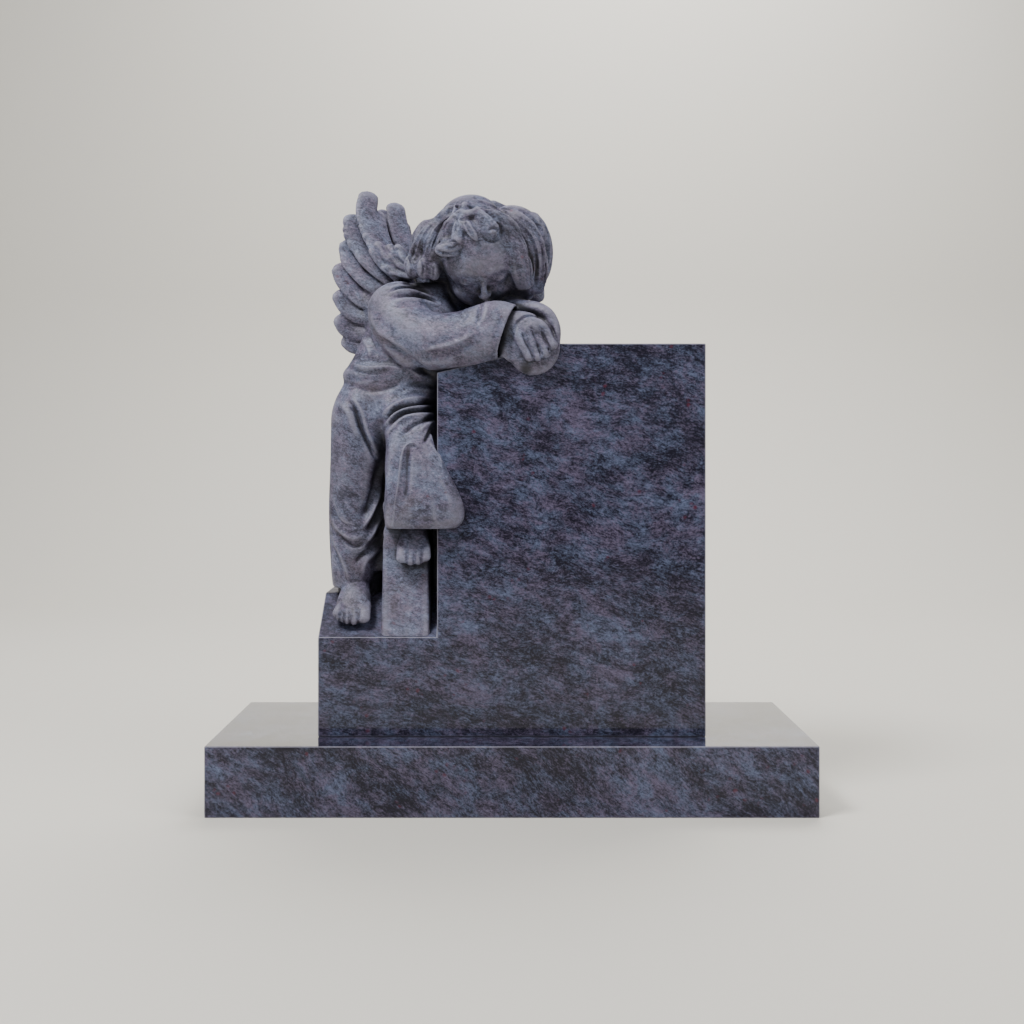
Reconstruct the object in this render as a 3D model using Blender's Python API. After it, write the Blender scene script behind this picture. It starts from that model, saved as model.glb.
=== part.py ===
"""Angel headstone: a polished plinth, a stepped headstone, and a carved child angel that leans on it.

Metres, +Z up. The front faces -Y, and the origin is under the middle of the plinth.
"""

import math

import bpy
import numpy as np

# Plinth
PLINTH_WIDTH = 0.860
PLINTH_DEPTH = 0.320
PLINTH_HEIGHT = 0.100

# Headstone: one block, with a step cut out of its upper left
STONE_THICKNESS = 0.200
SLAB_WIDTH = 0.388
SLAB_HEIGHT = 0.568
STEP_WIDTH = 0.172
STEP_HEIGHT = 0.143
ARM_REST_RUN = 0.177
ARM_REST_DROP = 0.042
FOOTING_RUN = 0.078
FOOTING_RISE = 0.057
ARRIS = 0.0015

# The joint between two stones, as a bare gap
JOINT = 0.0003

# The angel stands in the step and reaches over the slab, so the upright's height sets its size.
# It is laid out in units, which are millimetres where the upright is UPRIGHT_UNITS tall.
UPRIGHT_UNITS = 425.0
UNIT = (SLAB_HEIGHT - STEP_HEIGHT) / UPRIGHT_UNITS
SKIN_VOXEL = 3.0
CLOTH_VOXEL = 4.0
CLOTH_ROUNDS = 8
ANGEL_TRIANGLES = 9300

SLAB_LEFT = (STEP_WIDTH - SLAB_WIDTH) / 2
STONE_LEFT = SLAB_LEFT - STEP_WIDTH
STONE_RIGHT = SLAB_LEFT + SLAB_WIDTH
STONE_FRONT = -STONE_THICKNESS / 2
STONE_BASE = PLINTH_HEIGHT + JOINT
STEP_TOP = PLINTH_HEIGHT + STEP_HEIGHT

POLISHED_GRANITE = ("polished granite", (0.075, 0.075, 0.115), 0.12)
HONED_GRANITE = ("honed granite", (0.235, 0.235, 0.290), 0.60)

FRONT = np.array([0.0, -1.0, 0.0])
UP = np.array([0.0, 0.0, 1.0])


def clear_scene():
    for obj in list(bpy.data.objects):
        bpy.data.objects.remove(obj)


def granite(name, colour, roughness):
    """One Principled material for each finish of the stone."""
    material = bpy.data.materials.get(name) or bpy.data.materials.new(name)
    material.use_nodes = True
    shader = material.node_tree.nodes["Principled BSDF"]
    shader.inputs["Base Color"].default_value = (*colour, 1.0)
    shader.inputs["Roughness"].default_value = roughness
    shader.inputs["Metallic"].default_value = 0.0
    return material


def add_object(name, points, faces, finish):
    mesh = bpy.data.meshes.new(name)
    mesh.from_pydata([tuple(p) for p in points], [], [tuple(f) for f in faces])
    obj = bpy.data.objects.new(name, mesh)
    obj.data.materials.append(granite(*finish))
    bpy.context.scene.collection.objects.link(obj)
    return obj


def hide_cutter(obj):
    obj.hide_render = True
    obj.display_type = "WIRE"


def cut(obj, cutter):
    boolean = obj.modifiers.new("Cut", "BOOLEAN")
    boolean.operation = "DIFFERENCE"
    boolean.object = cutter
    hide_cutter(cutter)


def soften_arris(obj):
    bevel = obj.modifiers.new("Arris", "BEVEL")
    bevel.width = ARRIS
    bevel.segments = 2
    bevel.limit_method = "ANGLE"
    bevel.angle_limit = math.radians(30)


def build_plinth():
    half_width, half_depth = PLINTH_WIDTH / 2, PLINTH_DEPTH / 2
    corners = [(-1, -1), (1, -1), (1, 1), (-1, 1)]
    points = [(x * half_width, y * half_depth, z) for z in (0.0, PLINTH_HEIGHT) for x, y in corners]
    sides = [(k, (k + 1) % 4, 4 + (k + 1) % 4, 4 + k) for k in range(4)]
    plinth = add_object("plinth", points, [(3, 2, 1, 0), (4, 5, 6, 7), *sides], POLISHED_GRANITE)
    soften_arris(plinth)


def stone_block(name, grow):
    """The stepped block, with every face moved out by grow. The step slopes up from its front edge
    to a crease and is level behind it, and the slab's top slopes down under the angel's arms."""
    front, back = STONE_FRONT - grow, -STONE_FRONT + grow
    left, slab_left, right = STONE_LEFT - grow, SLAB_LEFT - grow, STONE_RIGHT + grow
    base, top = STONE_BASE - grow, PLINTH_HEIGHT + SLAB_HEIGHT + grow
    slope = FOOTING_RISE / FOOTING_RUN
    slope_at_front = STEP_TOP + grow * (math.hypot(1, slope) - slope)
    level = STEP_TOP + FOOTING_RISE + grow
    crease = front + (level - slope_at_front) / slope
    outline = [
        (left, base),
        (right, base),
        (right, top),
        (slab_left + ARM_REST_RUN, top),
        (slab_left, top - ARM_REST_DROP),
    ]
    points = [(x, y, z) for y in (front, back) for x, z in outline]
    points += [(x, front, slope_at_front) for x in (slab_left, left)]
    points += [(x, y, level) for y in (crease, back) for x in (slab_left, left)]
    faces = [
        (0, 1, 2, 3, 4, 10, 11),
        (6, 5, 15, 14, 9, 8, 7),
        (0, 5, 6, 1),
        (1, 6, 7, 2),
        (2, 7, 8, 3),
        (3, 8, 9, 4),
        (4, 9, 14, 12, 10),
        (11, 10, 12, 13),
        (13, 12, 14, 15),
        (0, 11, 13, 15, 5),
    ]
    return add_object(name, points, faces, POLISHED_GRANITE)


def catmull_rom(points, count):
    """A smooth curve through the points, read at count even steps of its parameter."""
    p = np.asarray(points, float)
    padded = np.vstack([2 * p[0] - p[1], p, 2 * p[-1] - p[-2]])
    t = np.linspace(0, len(p) - 1, count)
    i = np.minimum(t.astype(int), len(p) - 2)
    f = (t - i)[:, None]
    a, b, c, d = (padded[i + k] for k in range(4))
    return 0.5 * (2 * b + (c - a) * f + (2 * a - 5 * b + 4 * c - d) * f**2 + (3 * b - a - 3 * c + d) * f**3)


def unit_rows(vectors):
    return vectors / np.linalg.norm(vectors, axis=1, keepdims=True)


def tube_mesh(rings):
    """Closes a stack of equal rings into one skin, with a pole at each end."""
    count, sides = rings.shape[:2]
    points = np.vstack([rings.reshape(-1, 3), rings[0].mean(0), rings[-1].mean(0)])
    k = np.arange(sides)
    after = (k + 1) % sides
    starts = np.arange(count - 1)[:, None] * sides
    quads = np.stack([starts + k, starts + after, starts + sides + after, starts + sides + k], axis=-1)
    first, last = count * sides, count * sides + 1
    end = (count - 1) * sides
    faces = [tuple(q) for q in quads.reshape(-1, 4)]
    faces += [(first, b, a) for a, b in zip(k, after)]
    faces += [(last, end + a, end + b) for a, b in zip(k, after)]
    return points, faces


def swept(stations, facing=FRONT, sides=16, steps=24, ends=(1.0, 1.0)):
    """A rounded form along a path. Each station is (x, y, z, half width, half depth): the width
    runs across the path and across facing, and the depth runs along facing, which is one
    direction or one for each station. ends rounds the two ends, as a share of the thickness there."""
    data = catmull_rom(stations, steps)
    facing = np.asarray(facing, float)
    if facing.ndim == 2:
        facing = catmull_rom(facing, steps)
    centre, half = data[:, :3], np.maximum(data[:, 3:5], 0.4)
    along = unit_rows(np.gradient(centre, axis=0))
    across = unit_rows(np.cross(along, facing))
    out = np.cross(across, along)
    turns = np.linspace(0, math.pi / 2, 5)[1:]
    caps = []
    for end, rounding, way in ((0, ends[0], -1), (-1, ends[1], 1)):
        reach = half[end].min() * rounding * way * np.sin(turns)[:, None]
        sizes = half[end] * np.maximum(np.cos(turns), 0.08)[:, None]
        caps.append((centre[end] + along[end] * reach, sizes, across[[end] * 4], out[[end] * 4]))
    head, tail = caps
    rows = zip([part[::-1] for part in head], (centre, half, across, out), tail)
    centre, half, across, out = (np.vstack(row) for row in rows)
    angle = np.linspace(0, 2 * math.pi, sides, endpoint=False)
    wide = across[:, None] * (half[:, :1] * np.cos(angle))[..., None]
    deep = out[:, None] * (half[:, 1:] * np.sin(angle))[..., None]
    return tube_mesh(centre[:, None] + wide + deep)


def drape(stations, sides=32, steps=20, folds=(0, 0.0, 0.0), square=2.4):
    """Cloth round a body, as level rings. Each station is (x, y, z, half width, half depth).
    folds is (number, depth at the last ring, depth at the first), and square makes a ring boxier."""
    data = catmull_rom(stations, steps)
    angle = np.linspace(0, 2 * math.pi, sides, endpoint=False)
    c, s = np.cos(angle), np.sin(angle)
    radius = (np.abs(c) ** square + np.abs(s) ** square) ** (-1 / square)
    amount = np.linspace(folds[2], folds[1], steps)[:, None]
    radius = radius * (1 + amount * np.cos(folds[0] * angle + 0.6))
    x = data[:, :1] + data[:, 3:4] * radius * c
    y = data[:, 1:2] + data[:, 4:5] * radius * s
    z = np.repeat(data[:, 2:3], sides, axis=1)
    return tube_mesh(np.stack([x, y, z], axis=-1))


def ball(centre, radii, tilt=0.0):
    """An ellipsoid, turned by tilt degrees in the picture plane."""
    a, b, c = radii
    lean = np.array([math.sin(math.radians(tilt)), 0, math.cos(math.radians(tilt))])
    side = np.cross(lean, FRONT)
    turns = np.linspace(-math.pi / 2, math.pi / 2, 13)
    angle = np.linspace(0, 2 * math.pi, 20, endpoint=False)
    ring = np.maximum(np.cos(turns), 0.02)[:, None, None]
    level = np.sin(turns)[:, None, None] * c
    flat = np.cos(angle)[:, None] * side * a - np.sin(angle)[:, None] * FRONT * b
    return tube_mesh(np.asarray(centre) + ring * flat + level * lean)


def robe_forms():
    """The gown: a column over the standing leg, a bell over the raised knee, and the leaning body."""
    standing = [
        (-131, 93, 66, 31, 50),
        (-130, 92, 88, 34, 54),
        (-126, 92, 120, 40, 57),
        (-124, 90, 150, 43, 58),
        (-124, 86, 190, 43, 55),
        (-122, 80, 235, 43, 53),
        (-116, 78, 293, 47, 53),
        (-110, 78, 335, 50, 50),
        (-98, 80, 376, 42, 38),
        (-84, 82, 410, 24, 20),
    ]
    raised = [
        (-23, 15, 158, 52, 34),
        (-19, 14, 168, 58, 38),
        (-18, 14, 184, 59, 39),
        (-21, 15, 206, 56, 38),
        (-30, 18, 243, 47, 39),
        (-37, 26, 282, 39, 40),
        (-46, 48, 326, 38, 40),
        (-60, 78, 372, 34, 30),
    ]
    body = [
        (-84, 104, 90, 70, 44),
        (-84, 104, 200, 74, 40),
        (-80, 92, 290, 76, 44),
        (-74, 78, 340, 79, 48),
        (-67, 76, 368, 75, 46),
        (-62, 75, 385, 84, 51),
        (-58, 74, 397, 79, 47),
        (-52, 73, 414, 75, 46),
        (-45, 72, 442, 69, 45),
        (-38, 70, 474, 64, 43),
        (-34, 76, 502, 52, 38),
        (-16, 82, 522, 36, 28),
    ]
    return [
        drape(standing, folds=(7, 0.0, 0.03)),
        drape(raised, folds=(6, 0.0, 0.03), square=3.0),
        drape(body),
    ]


def sleeve_forms():
    """The near sleeve, from its shoulder along the top of the slab to the open cuff."""
    sleeve = [
        (-62, 56, 482, 45, 40),
        (-55, 42, 460, 46, 42),
        (-33, 27, 437, 45, 41),
        (0, 17, 429, 42, 38),
        (36, 14, 431, 42, 37),
        (62, 12, 438, 43, 36),
        (84, 11, 446, 42, 34),
        (100, 8, 441, 44, 31),
    ]
    return [swept(sleeve, sides=24, ends=(1.0, 0.1))]


def far_arm_forms():
    """The far forearm comes out behind the cuff and closes round the near hand."""
    far_arm = [
        (60, 90, 490, 32, 28),
        (98, 62, 482, 22, 22),
        (123, 36, 479, 14, 16),
        (143, 20, 477, 11, 14),
        (158, 10, 469, 10, 13),
        (167, 4, 456, 9, 12),
        (171, 0, 442, 8, 11),
        (170, 0, 428, 8, 10),
    ]
    return [swept(far_arm)]


# The four fingers of the near hand, each as places (x, z) from knuckle to tip
FINGERS = [
    [(116, 441), (121, 429), (127, 417), (134, 405)],
    [(129, 446), (134, 431), (140, 417), (145, 405)],
    [(142, 447), (147, 433), (152, 420), (157, 410)],
    [(154, 443), (160, 432), (166, 421)],
]


def hand_forms():
    """The near hand hangs over the slab's edge on a rounded boss that laps over the face."""
    fingers = []
    for course in FINGERS:
        rows = [(x, -8 - 7 * k / (len(course) - 1), z, 8.6, 7.5) for k, (x, z) in enumerate(course)]
        fingers.append(swept(rows, sides=12, steps=12, ends=(1.2, 1.0)))
    return [
        ball((139, 3, 421), (39.5, 17, 43)),
        ball((139, -2, 441), (29.5, 15.5, 22)),
        ball((142, -5, 424), (26, 13.5, 26)),
        ball((136, 26, 444), (36, 24, 27)),
        ball((112, 8, 424), (20, 14, 26)),
        ball((100, 27, 424), (28, 12, 34)),
        swept([(104, 6, 450, 24, 16), (122, 2, 449, 23, 15), (136, -2, 446, 22, 12)]),
        *fingers,
    ]


HEAD_CENTRE = np.array([60.0, 50.0, 556.0])
HEAD_ROLL = math.radians(-8)
HEAD_PITCH = math.radians(38)
SKULL = np.array([57.0, 62.0, 74.0])


def head_form(mesh):
    """Bows a form modelled upright about the head's middle, then leans it in the picture plane."""
    points, faces = mesh
    cr, sr, cp, sp = math.cos(HEAD_ROLL), math.sin(HEAD_ROLL), math.cos(HEAD_PITCH), math.sin(HEAD_PITCH)
    pitch = np.array([[1, 0, 0], [0, cp, -sp], [0, sp, cp]])
    roll = np.array([[cr, 0, sr], [0, 1, 0], [-sr, 0, cr]])
    return HEAD_CENTRE + points @ (roll @ pitch).T, faces


def head_forms():
    """Skull, cheeks and jaw, with the closed eyes, nose and mouth of a sleeping child."""
    forms = [
        ball((0, 2, 6), SKULL),
        ball((0, -8, 10), (58, 54, 54)),
        ball((0, -14, -26), (51, 43, 42)),
        ball((0, -44, -60), (14, 13, 12)),
        swept([(0, -57, 0, 5, 6), (0, -64, -13, 5.5, 7), (0, -70, -24, 7.5, 7)], steps=10, sides=10),
        swept([(-13, -52, -41, 2, 3), (0, -60, -39, 4.5, 4.5), (13, -52, -41, 2, 3)], UP, steps=10, sides=10),
        swept([(-11, -51, -45, 2, 3), (0, -58, -47, 4.5, 4.5), (11, -51, -45, 2, 3)], UP, steps=10, sides=10),
    ]
    for side in (-1, 1):
        brow = [(8 * side, -59, 8, 4, 4), (22 * side, -57, 13, 5, 5), (38 * side, -43, 8, 4, 4)]
        forms += [
            ball((25 * side, -36, -28), (20, 19, 18)),
            ball((22 * side, -50.5, -5), (12, 8, 6.5)),
            ball((6 * side, -63, -25), (5, 6, 4.5)),
            swept(brow, steps=10, sides=10),
        ]
    neck = swept([(6, 80, 486, 36, 32), (44, 74, 540, 38, 36)])
    return [*[head_form(mesh) for mesh in forms], neck]


# The large round masses of the hair with the brow, each as place and radii, from the head's middle
BROW = ((0, -8, 4), (57, 58, 70))
HAIR_MASSES = [
    ((-8, 8, 44), (54, 58, 54)),
    ((52, 26, 13), (60, 62, 74)),
    ((-52, 20, 16), (50, 56, 50)),
    ((6, 42, -2), (88, 46, 76)),
    ((16, 46, -28), (72, 44, 48)),
]


def front_of_hair(line):
    """How far back the masses lie over places (x, z), as seen from the front."""
    fronts = []
    for place, radii in [BROW, *HAIR_MASSES]:
        share = ((line[:, 0] - place[0]) / radii[0]) ** 2 + ((line[:, 1] - place[2]) / radii[2]) ** 2
        fronts.append(place[1] - radii[1] * np.sqrt(np.clip(1 - share, 0, 1)))
    return np.min(fronts, axis=0)


def hair_lock(course, width, lift=0.0, taper=(0.5, 0.5)):
    """One flat lock that lies on the masses. Its course is (x, z) from the head's middle, as seen from
    the front, lift brings it forward, and taper is its width at its root and at its tip, as shares."""
    line = catmull_rom(course, 10)
    centre = HEAD_CENTRE + np.column_stack([line[:, 0], front_of_hair(line) - lift, line[:, 1]])
    shares = np.interp(np.linspace(0, 1, 10), [0, 0.3, 0.8, 1], [taper[0], 1.0, 1.0, taper[1]])
    across = width * shares[:, None]
    deep = np.minimum(0.7 * across, 2.5 + 0.22 * across)
    return swept(np.hstack([centre, across, deep]), sides=12, steps=20)


# The locks down the sides of the head: place and radii of the mass they lie on, their azimuths as seen
# from above, and how far down they reach, all in degrees
SIDE_LOCKS = [
    ((52, 26, 13), (58, 60, 72), (-38, -18, 2, 22, 42, 62), -50),
    ((-52, 20, 16), (48, 54, 48), (148, 168, 188, 208), -38),
]


def side_locks():
    """Plain locks down both sides of the head, on the meridians of the two side masses."""
    locks = []
    for place, radii, azimuths, low in SIDE_LOCKS:
        fall = np.radians(np.linspace(50, low, 7))
        for k, azimuth in enumerate(azimuths):
            turn = np.radians(azimuth + 7 * np.sin(2.2 * fall + 1.3 * k))
            out = np.column_stack([np.cos(fall) * np.cos(turn), np.cos(fall) * np.sin(turn), np.sin(fall)])
            facing = (math.cos(math.radians(azimuth)), math.sin(math.radians(azimuth)), 0.0)
            stations = [(*point, 12, 6) for point in HEAD_CENTRE + np.array(place) + out * np.array(radii)]
            locks.append(swept(stations, facing, sides=12, steps=16))
    return locks


# The first and the last groove of the hair on each side, and how many run from one to the other
HAIR_WAVES = [
    ([(26, 40), (46, 24), (58, -2), (66, -50)], [(66, 64), (92, 40), (102, 8), (94, -46)], 5),
    ([(-46, 58), (-60, 36), (-70, 14), (-76, -6)], [(-52, 66), (-78, 44), (-94, 14), (-102, -12)], 3),
]


def hair_grooves():
    """Strokes for carve: the grooves between the waves of the hair, and its deep parting."""
    middle = HEAD_CENTRE[[0, 2]]
    strokes = []
    for first, last, count in HAIR_WAVES:
        first, last = np.array(first, float), np.array(last, float)
        for k in range(count):
            strokes.append((middle + first + (last - first) * k / (count - 1), 3.2, -4.0))
    parting = [(-37, 72), (-42, 62), (-54, 42), (-63, 21), (-68, 4)]
    strokes.append((middle + np.array(parting, float), 3.2, -6.5))
    return strokes


def hair_forms():
    """Thick hair parted above the brow: a heavy sweep to the viewer's right, a shorter one to the
    left that ends in ringlets, a gathered forelock that curls both ways, and a plain rounded back."""
    masses = [ball(HEAD_CENTRE + np.array(place), radii) for place, radii in HAIR_MASSES]
    sides = [
        hair_lock([(14, 54), (38, 38), (52, 12), (60, -16), (68, -44)], 17, 3, (0.7, 0.75)),
        hair_lock([(34, 64), (62, 46), (79, 16), (86, -16), (84, -48)], 18, -3, (0.7, 0.7)),
        hair_lock([(62, -20), (70, -42), (72, -58)], 14, -6),
        hair_lock([(-40, 66), (-56, 47), (-72, 27), (-84, 4), (-93, -16)], 17, -2, (0.6, 0.7)),
        hair_lock([(-34, 62), (-52, 40), (-63, 20), (-72, 0), (-79, -20)], 11, 1, (0.5, 0.9)),
        hair_lock([(-50, 34), (-60, 14), (-65, -6), (-65, -26)], 9, -5, (0.5, 0.9)),
    ]
    forelock = [
        hair_lock([(-39, 54), (-37, 64), (-33, 73)], 5.5, 3),
        hair_lock([(-23, 54), (-22, 64), (-20, 75)], 6.5, 4),
        hair_lock([(-38, 50), (-27, 56), (-13, 54), (0, 60)], 6.5, 9, (0.7, 0.7)),
        hair_lock([(-30, 52), (-40, 38), (-46, 26), (-45, 16)], 13, 4, (0.6, 0.8)),
        hair_lock([(-22, 50), (-27, 36), (-30, 24), (-27, 14)], 10, 4, (0.6, 0.7)),
        hair_lock([(-19, 44), (-12, 29), (-1, 13)], 7, 4, (0.8, 0.4)),
        hair_lock([(-6, 58), (7, 50), (16, 40), (20, 27)], 14, 3, (0.7, 0.7)),
    ]
    curls = []
    for place, radii in (
        ((-8, -26, 62), (14, 14, 13)),
        ((-42, -57, 5), (22, 11, 13)),
        ((18, -56, 25), (13, 9, 11)),
        ((-100, -12, -20), (11, 12, 15)),
        ((-82, -24, -22), (11, 12, 14)),
        ((-65, -22, -25), (9.5, 11, 12)),
    ):
        curls.append(ball(HEAD_CENTRE + np.array(place), radii))
    back_locks = []
    for k in range(9):
        x = -80 + 21 * k
        fall = math.sqrt(1 - (x / 100) ** 2)
        high, low = (0.8 * x, 44 + 32 * fall, 58), (x, 36 + 58 * fall, 8)
        tip = (x + 5 * math.sin(2.3 * k), 32 + 50 * fall, -44 - 9 * math.sin(1.7 * k + 1))
        course = [(0.25 * x - 4, 36, 82), high, low, tip]
        stations = [(*(HEAD_CENTRE + point), 13, 8) for point in np.array(course)]
        back_locks.append(swept(stations, -FRONT, sides=12, steps=16))
    return [*masses, *sides, *side_locks(), *forelock, *curls, *back_locks]


def feather(points, half_width, facing):
    """A carved flight feather: a flat blade, narrow where it leaves the wing and round at its tip."""
    shares = np.interp(np.linspace(0, 1, len(points)), [0, 0.3, 0.8, 1], [0.92, 1.0, 0.85, 0.6])
    stations = [(*p, half_width * k, 5.5) for p, k in zip(points, shares)]
    return swept(stations, facing, sides=14, steps=18, ends=(1.8, 1.0))


def wing_forms():
    """Two wings: the near one spread across the picture, the far one swept back behind the head."""
    near = [
        [(-97, 134, 632), (-92, 124, 606), (-82, 116, 582), (-60, 106, 548)],
        [(-114, 132, 662), (-116, 126, 638), (-108, 116, 606), (-94, 108, 580), (-60, 100, 540)],
        [(-136, 126, 626), (-134, 120, 604), (-122, 114, 580), (-104, 108, 556), (-64, 102, 520)],
        [(-142, 122, 586), (-139, 118, 566), (-125, 113, 546), (-105, 108, 526), (-70, 102, 502)],
        [(-154, 117, 549), (-145, 114, 531), (-130, 112, 513), (-111, 108, 499), (-74, 102, 486)],
        [(-153, 113, 508), (-142, 111, 492), (-127, 109, 480), (-109, 106, 476), (-74, 102, 468)],
        [(-151, 108, 470), (-142, 107, 458), (-127, 106, 451), (-92, 102, 446)],
        [(-142, 104, 436), (-133, 104, 430), (-121, 104, 428), (-90, 102, 430)],
    ]
    near_widths = [11, 18, 18.5, 18.5, 18.5, 18, 17, 13]
    coverts = [
        [(-102, 98, 572), (-88, 94, 553), (-64, 90, 528)],
        [(-93, 96, 580), (-80, 92, 563), (-58, 88, 540)],
        [(-83, 90, 547), (-69, 86, 540), (-46, 82, 531)],
    ]
    far_tucked = [
        [(-95, 168, 642), (-86, 160, 616), (-70, 146, 584), (-30, 122, 530)],
        [(-84, 166, 634), (-76, 156, 606), (-60, 142, 576), (-28, 120, 528)],
    ]
    near_facing = (0.3, -1.0, 0.3)
    forms = [feather(points, width, near_facing) for points, width in zip(near, near_widths)]
    forms += [feather(points, 8.5, (0.3, -1.0, 0.5)) for points in coverts]
    forms += [
        swept([(-88, 116, 560, 14, 7), (-92, 112, 520, 26, 8), (-84, 104, 468, 34, 12)], ends=(1.5, 1.5)),
        swept([(-36, 106, 500, 18, 16), (-58, 110, 530, 14, 13), (-66, 112, 556, 9, 9)]),
        ball((-106, 110, 462), (24, 7, 24)),
    ]
    far_root = (-22, 118, 520)
    far_facing = (0.45, -0.85, 0.1)
    forms += [feather(points, 14, far_facing) for points in far_tucked]
    far = 8
    for k in range(far):
        share = k / (far - 1)
        arc = math.sin(1.9 * share)
        tip = (-74 + 52 * share, 158 + 56 * arc, 650 - 174 * share)
        bow = (-69 + 47 * share, 150 + 50 * arc, 622 - 148 * share)
        half = (-58 + 36 * share, 142 + 38 * arc, 590 - 118 * share)
        forms.append(feather([tip, bow, half, far_root], 18, far_facing))
    return forms


# Each foot: stations from the ankle, the root and tip of its toes, and the toes as root x, tip x,
# tip z and half width
STANDING_FOOT = {
    "stations": [
        (-121, 76, 98, 15, 16),
        (-122, 63, 76, 17, 16),
        (-123, 40, 54, 24, 15),
        (-125, 19, 28, 27, 11),
    ],
    "root": (28, 44),
    "tip_y": 11,
    "toes": [
        (-108, -108, 16, 10.5),
        (-121, -122, 15, 9),
        (-130, -132, 17, 8.2),
        (-137, -140, 21, 7.6),
        (-142, -146, 28, 6.6),
    ],
}
RAISED_FOOT = {
    "stations": [
        (-34, 42, 176, 18, 17),
        (-34, 28, 150, 20, 17),
        (-34, 16, 130, 25, 14),
        (-35, 8, 114, 25, 10),
    ],
    "root": (14, 132),
    "tip_y": 3,
    "toes": [(-48, -50, 105, 9.6), (-38, -38.5, 102, 9), (-28, -27, 103.5, 8.6), (-18, -17, 109, 8)],
}


def foot_forms(foot):
    """A child's bare foot that points down the slope, from the ankle to its round toes."""
    forms = [swept(foot["stations"], ends=(1.0, 0.6))]
    y, z = foot["root"]
    tip_y = foot["tip_y"]
    for root_x, tip_x, tip_z, half in foot["toes"]:
        tip = (tip_x, tip_y, tip_z + half)
        middle = ((root_x + tip_x) / 2, 0.45 * y + 0.55 * tip[1] - 2, 0.45 * z + 0.55 * tip[2])
        rows = [(root_x, y, z, half, 8), (*middle, half, 8), (*tip, half, 7)]
        forms.append(swept(rows, sides=12, steps=10))
    return forms


def support_forms():
    """The post behind the raised foot, the stone hidden under the hem, and the web that ties the post
    to the slab."""
    post = [(-46, 64, -10, 36, 61), (-46, 64, 20, 36, 60), (-47, 78, 154, 34, 52), (-47, 80, 240, 33, 50)]
    under_hem = drape([(-121, 110, -10, 34, 42), (-121, 108, 90, 36, 44)])
    web = drape([(-14, 116, -10, 22, 34), (-14, 116, 120, 22, 34), (-14, 116, 280, 22, 34)], square=10)
    return [drape(post, square=14), under_hem, web]


def body_forms():
    upper = [*far_arm_forms(), *hand_forms(), *head_forms(), *hair_forms(), *wing_forms()]
    return [*upper, *foot_forms(STANDING_FOOT), *foot_forms(RAISED_FOOT), *support_forms()]


# Folds cut into the front of the gown: (course as x and z, half width, height), below 0 for a groove
FOLDS = [
    ([(-131, 342), (-121, 328), (-113, 304), (-100, 276), (-90, 256)], 3.6, -6.5),
    ([(-150, 346), (-134, 328), (-124, 304), (-117, 284)], 5.5, 3.0),
    ([(-126, 350), (-112, 328), (-103, 298), (-92, 270)], 4.5, 4.0),
    ([(-79, 266), (-85, 227), (-96, 184), (-113, 155)], 4.0, 4.5),
    ([(-88, 246), (-94, 216), (-102, 192), (-114, 172)], 7.0, -4.5),
    ([(-79, 196), (-92, 161), (-109, 132), (-121, 125)], 4.0, 4.5),
    ([(-78, 172), (-86, 151), (-96, 136), (-107, 127)], 3.6, -4.5),
    ([(-151, 153), (-138, 138), (-122, 130), (-108, 133), (-96, 146)], 3.6, -4.0),
    ([(-159, 178), (-152, 159), (-140, 147), (-124, 141), (-110, 146)], 4.5, 3.6),
    ([(-158, 152), (-150, 131), (-137, 99), (-131, 80)], 4.0, 4.0),
    ([(-82, 143), (-101, 125), (-115, 115), (-123, 104)], 4.0, -5.5),
    ([(-84, 132), (-98, 117), (-109, 104), (-113, 84)], 4.0, 3.5),
    ([(-24, 273), (-30, 280), (-39, 280), (-46, 273), (-50, 258), (-57, 200), (-63, 161)], 3.4, 4),
    ([(-37, 274), (-41, 262), (-43, 215), (-46, 190)], 4.6, -4.5),
    ([(-8, 304), (-12, 293), (-18, 282)], 3.4, -5.5),
    ([(-6, 302), (-1, 285), (4, 268)], 3.4, -6.0),
    ([(-10, 283), (-5, 272), (3, 259), (8, 245)], 3.4, 3.2),
    ([(-2, 342), (-44, 336), (-65, 327), (-78, 311)], 3.4, -5.5),
    ([(-2, 349), (-42, 345), (-66, 335), (-84, 316)], 3.6, 4.0),
    ([(-2, 330), (-37, 328), (-56, 321), (-78, 300)], 3.4, -5.5),
    ([(-2, 336), (-40, 332), (-60, 324), (-78, 307)], 3.4, 3.5),
    ([(-3, 319), (-20, 314), (-36, 306), (-50, 292)], 3.4, -4.5),
    ([(-84, 434), (-52, 410), (-19, 386), (-4, 380)], 5.0, -7.0),
    ([(-130, 400), (-105, 392), (-72, 393), (-44, 388)], 4.5, 3.4),
    ([(-126, 366), (-104, 358), (-78, 360), (-52, 370)], 4.5, -3.0),
    ([(-68, 505), (-39, 511), (-10, 501)], 3.4, -4.5),
    ([(-74, 499), (-39, 505), (-6, 496)], 3.4, 3.0),
    ([(-70, 493), (-31, 498), (2, 488)], 3.4, -4.5),
    ([(-101, 474), (-82, 441), (-49, 420), (-38, 410)], 4.5, 3.0),
    ([(-24, 412), (-2, 417), (19, 421), (38, 428), (56, 438)], 4.0, 3.2),
    ([(-14, 405), (8, 409), (30, 414), (54, 427)], 5.0, -3.2),
    ([(63, 482), (61, 466), (58, 450)], 3.6, -3.0),
]
# The gaps between the fingers and the crease above the hand, cut the same way
HAND_GAPS = [
    ([(122, 438), (128, 425), (136, 411), (140, 401)], 2.8, -4.0),
    ([(136, 442), (141, 430), (147, 416), (151, 404)], 2.8, -4.0),
    ([(149, 443), (154, 431), (160, 420), (162, 411)], 2.8, -4.0),
    ([(110, 437), (127, 463), (140, 465), (152, 461), (163, 450), (172, 424)], 2.6, -4.0),
]
CARVED_DEPTH = 62.0


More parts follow.
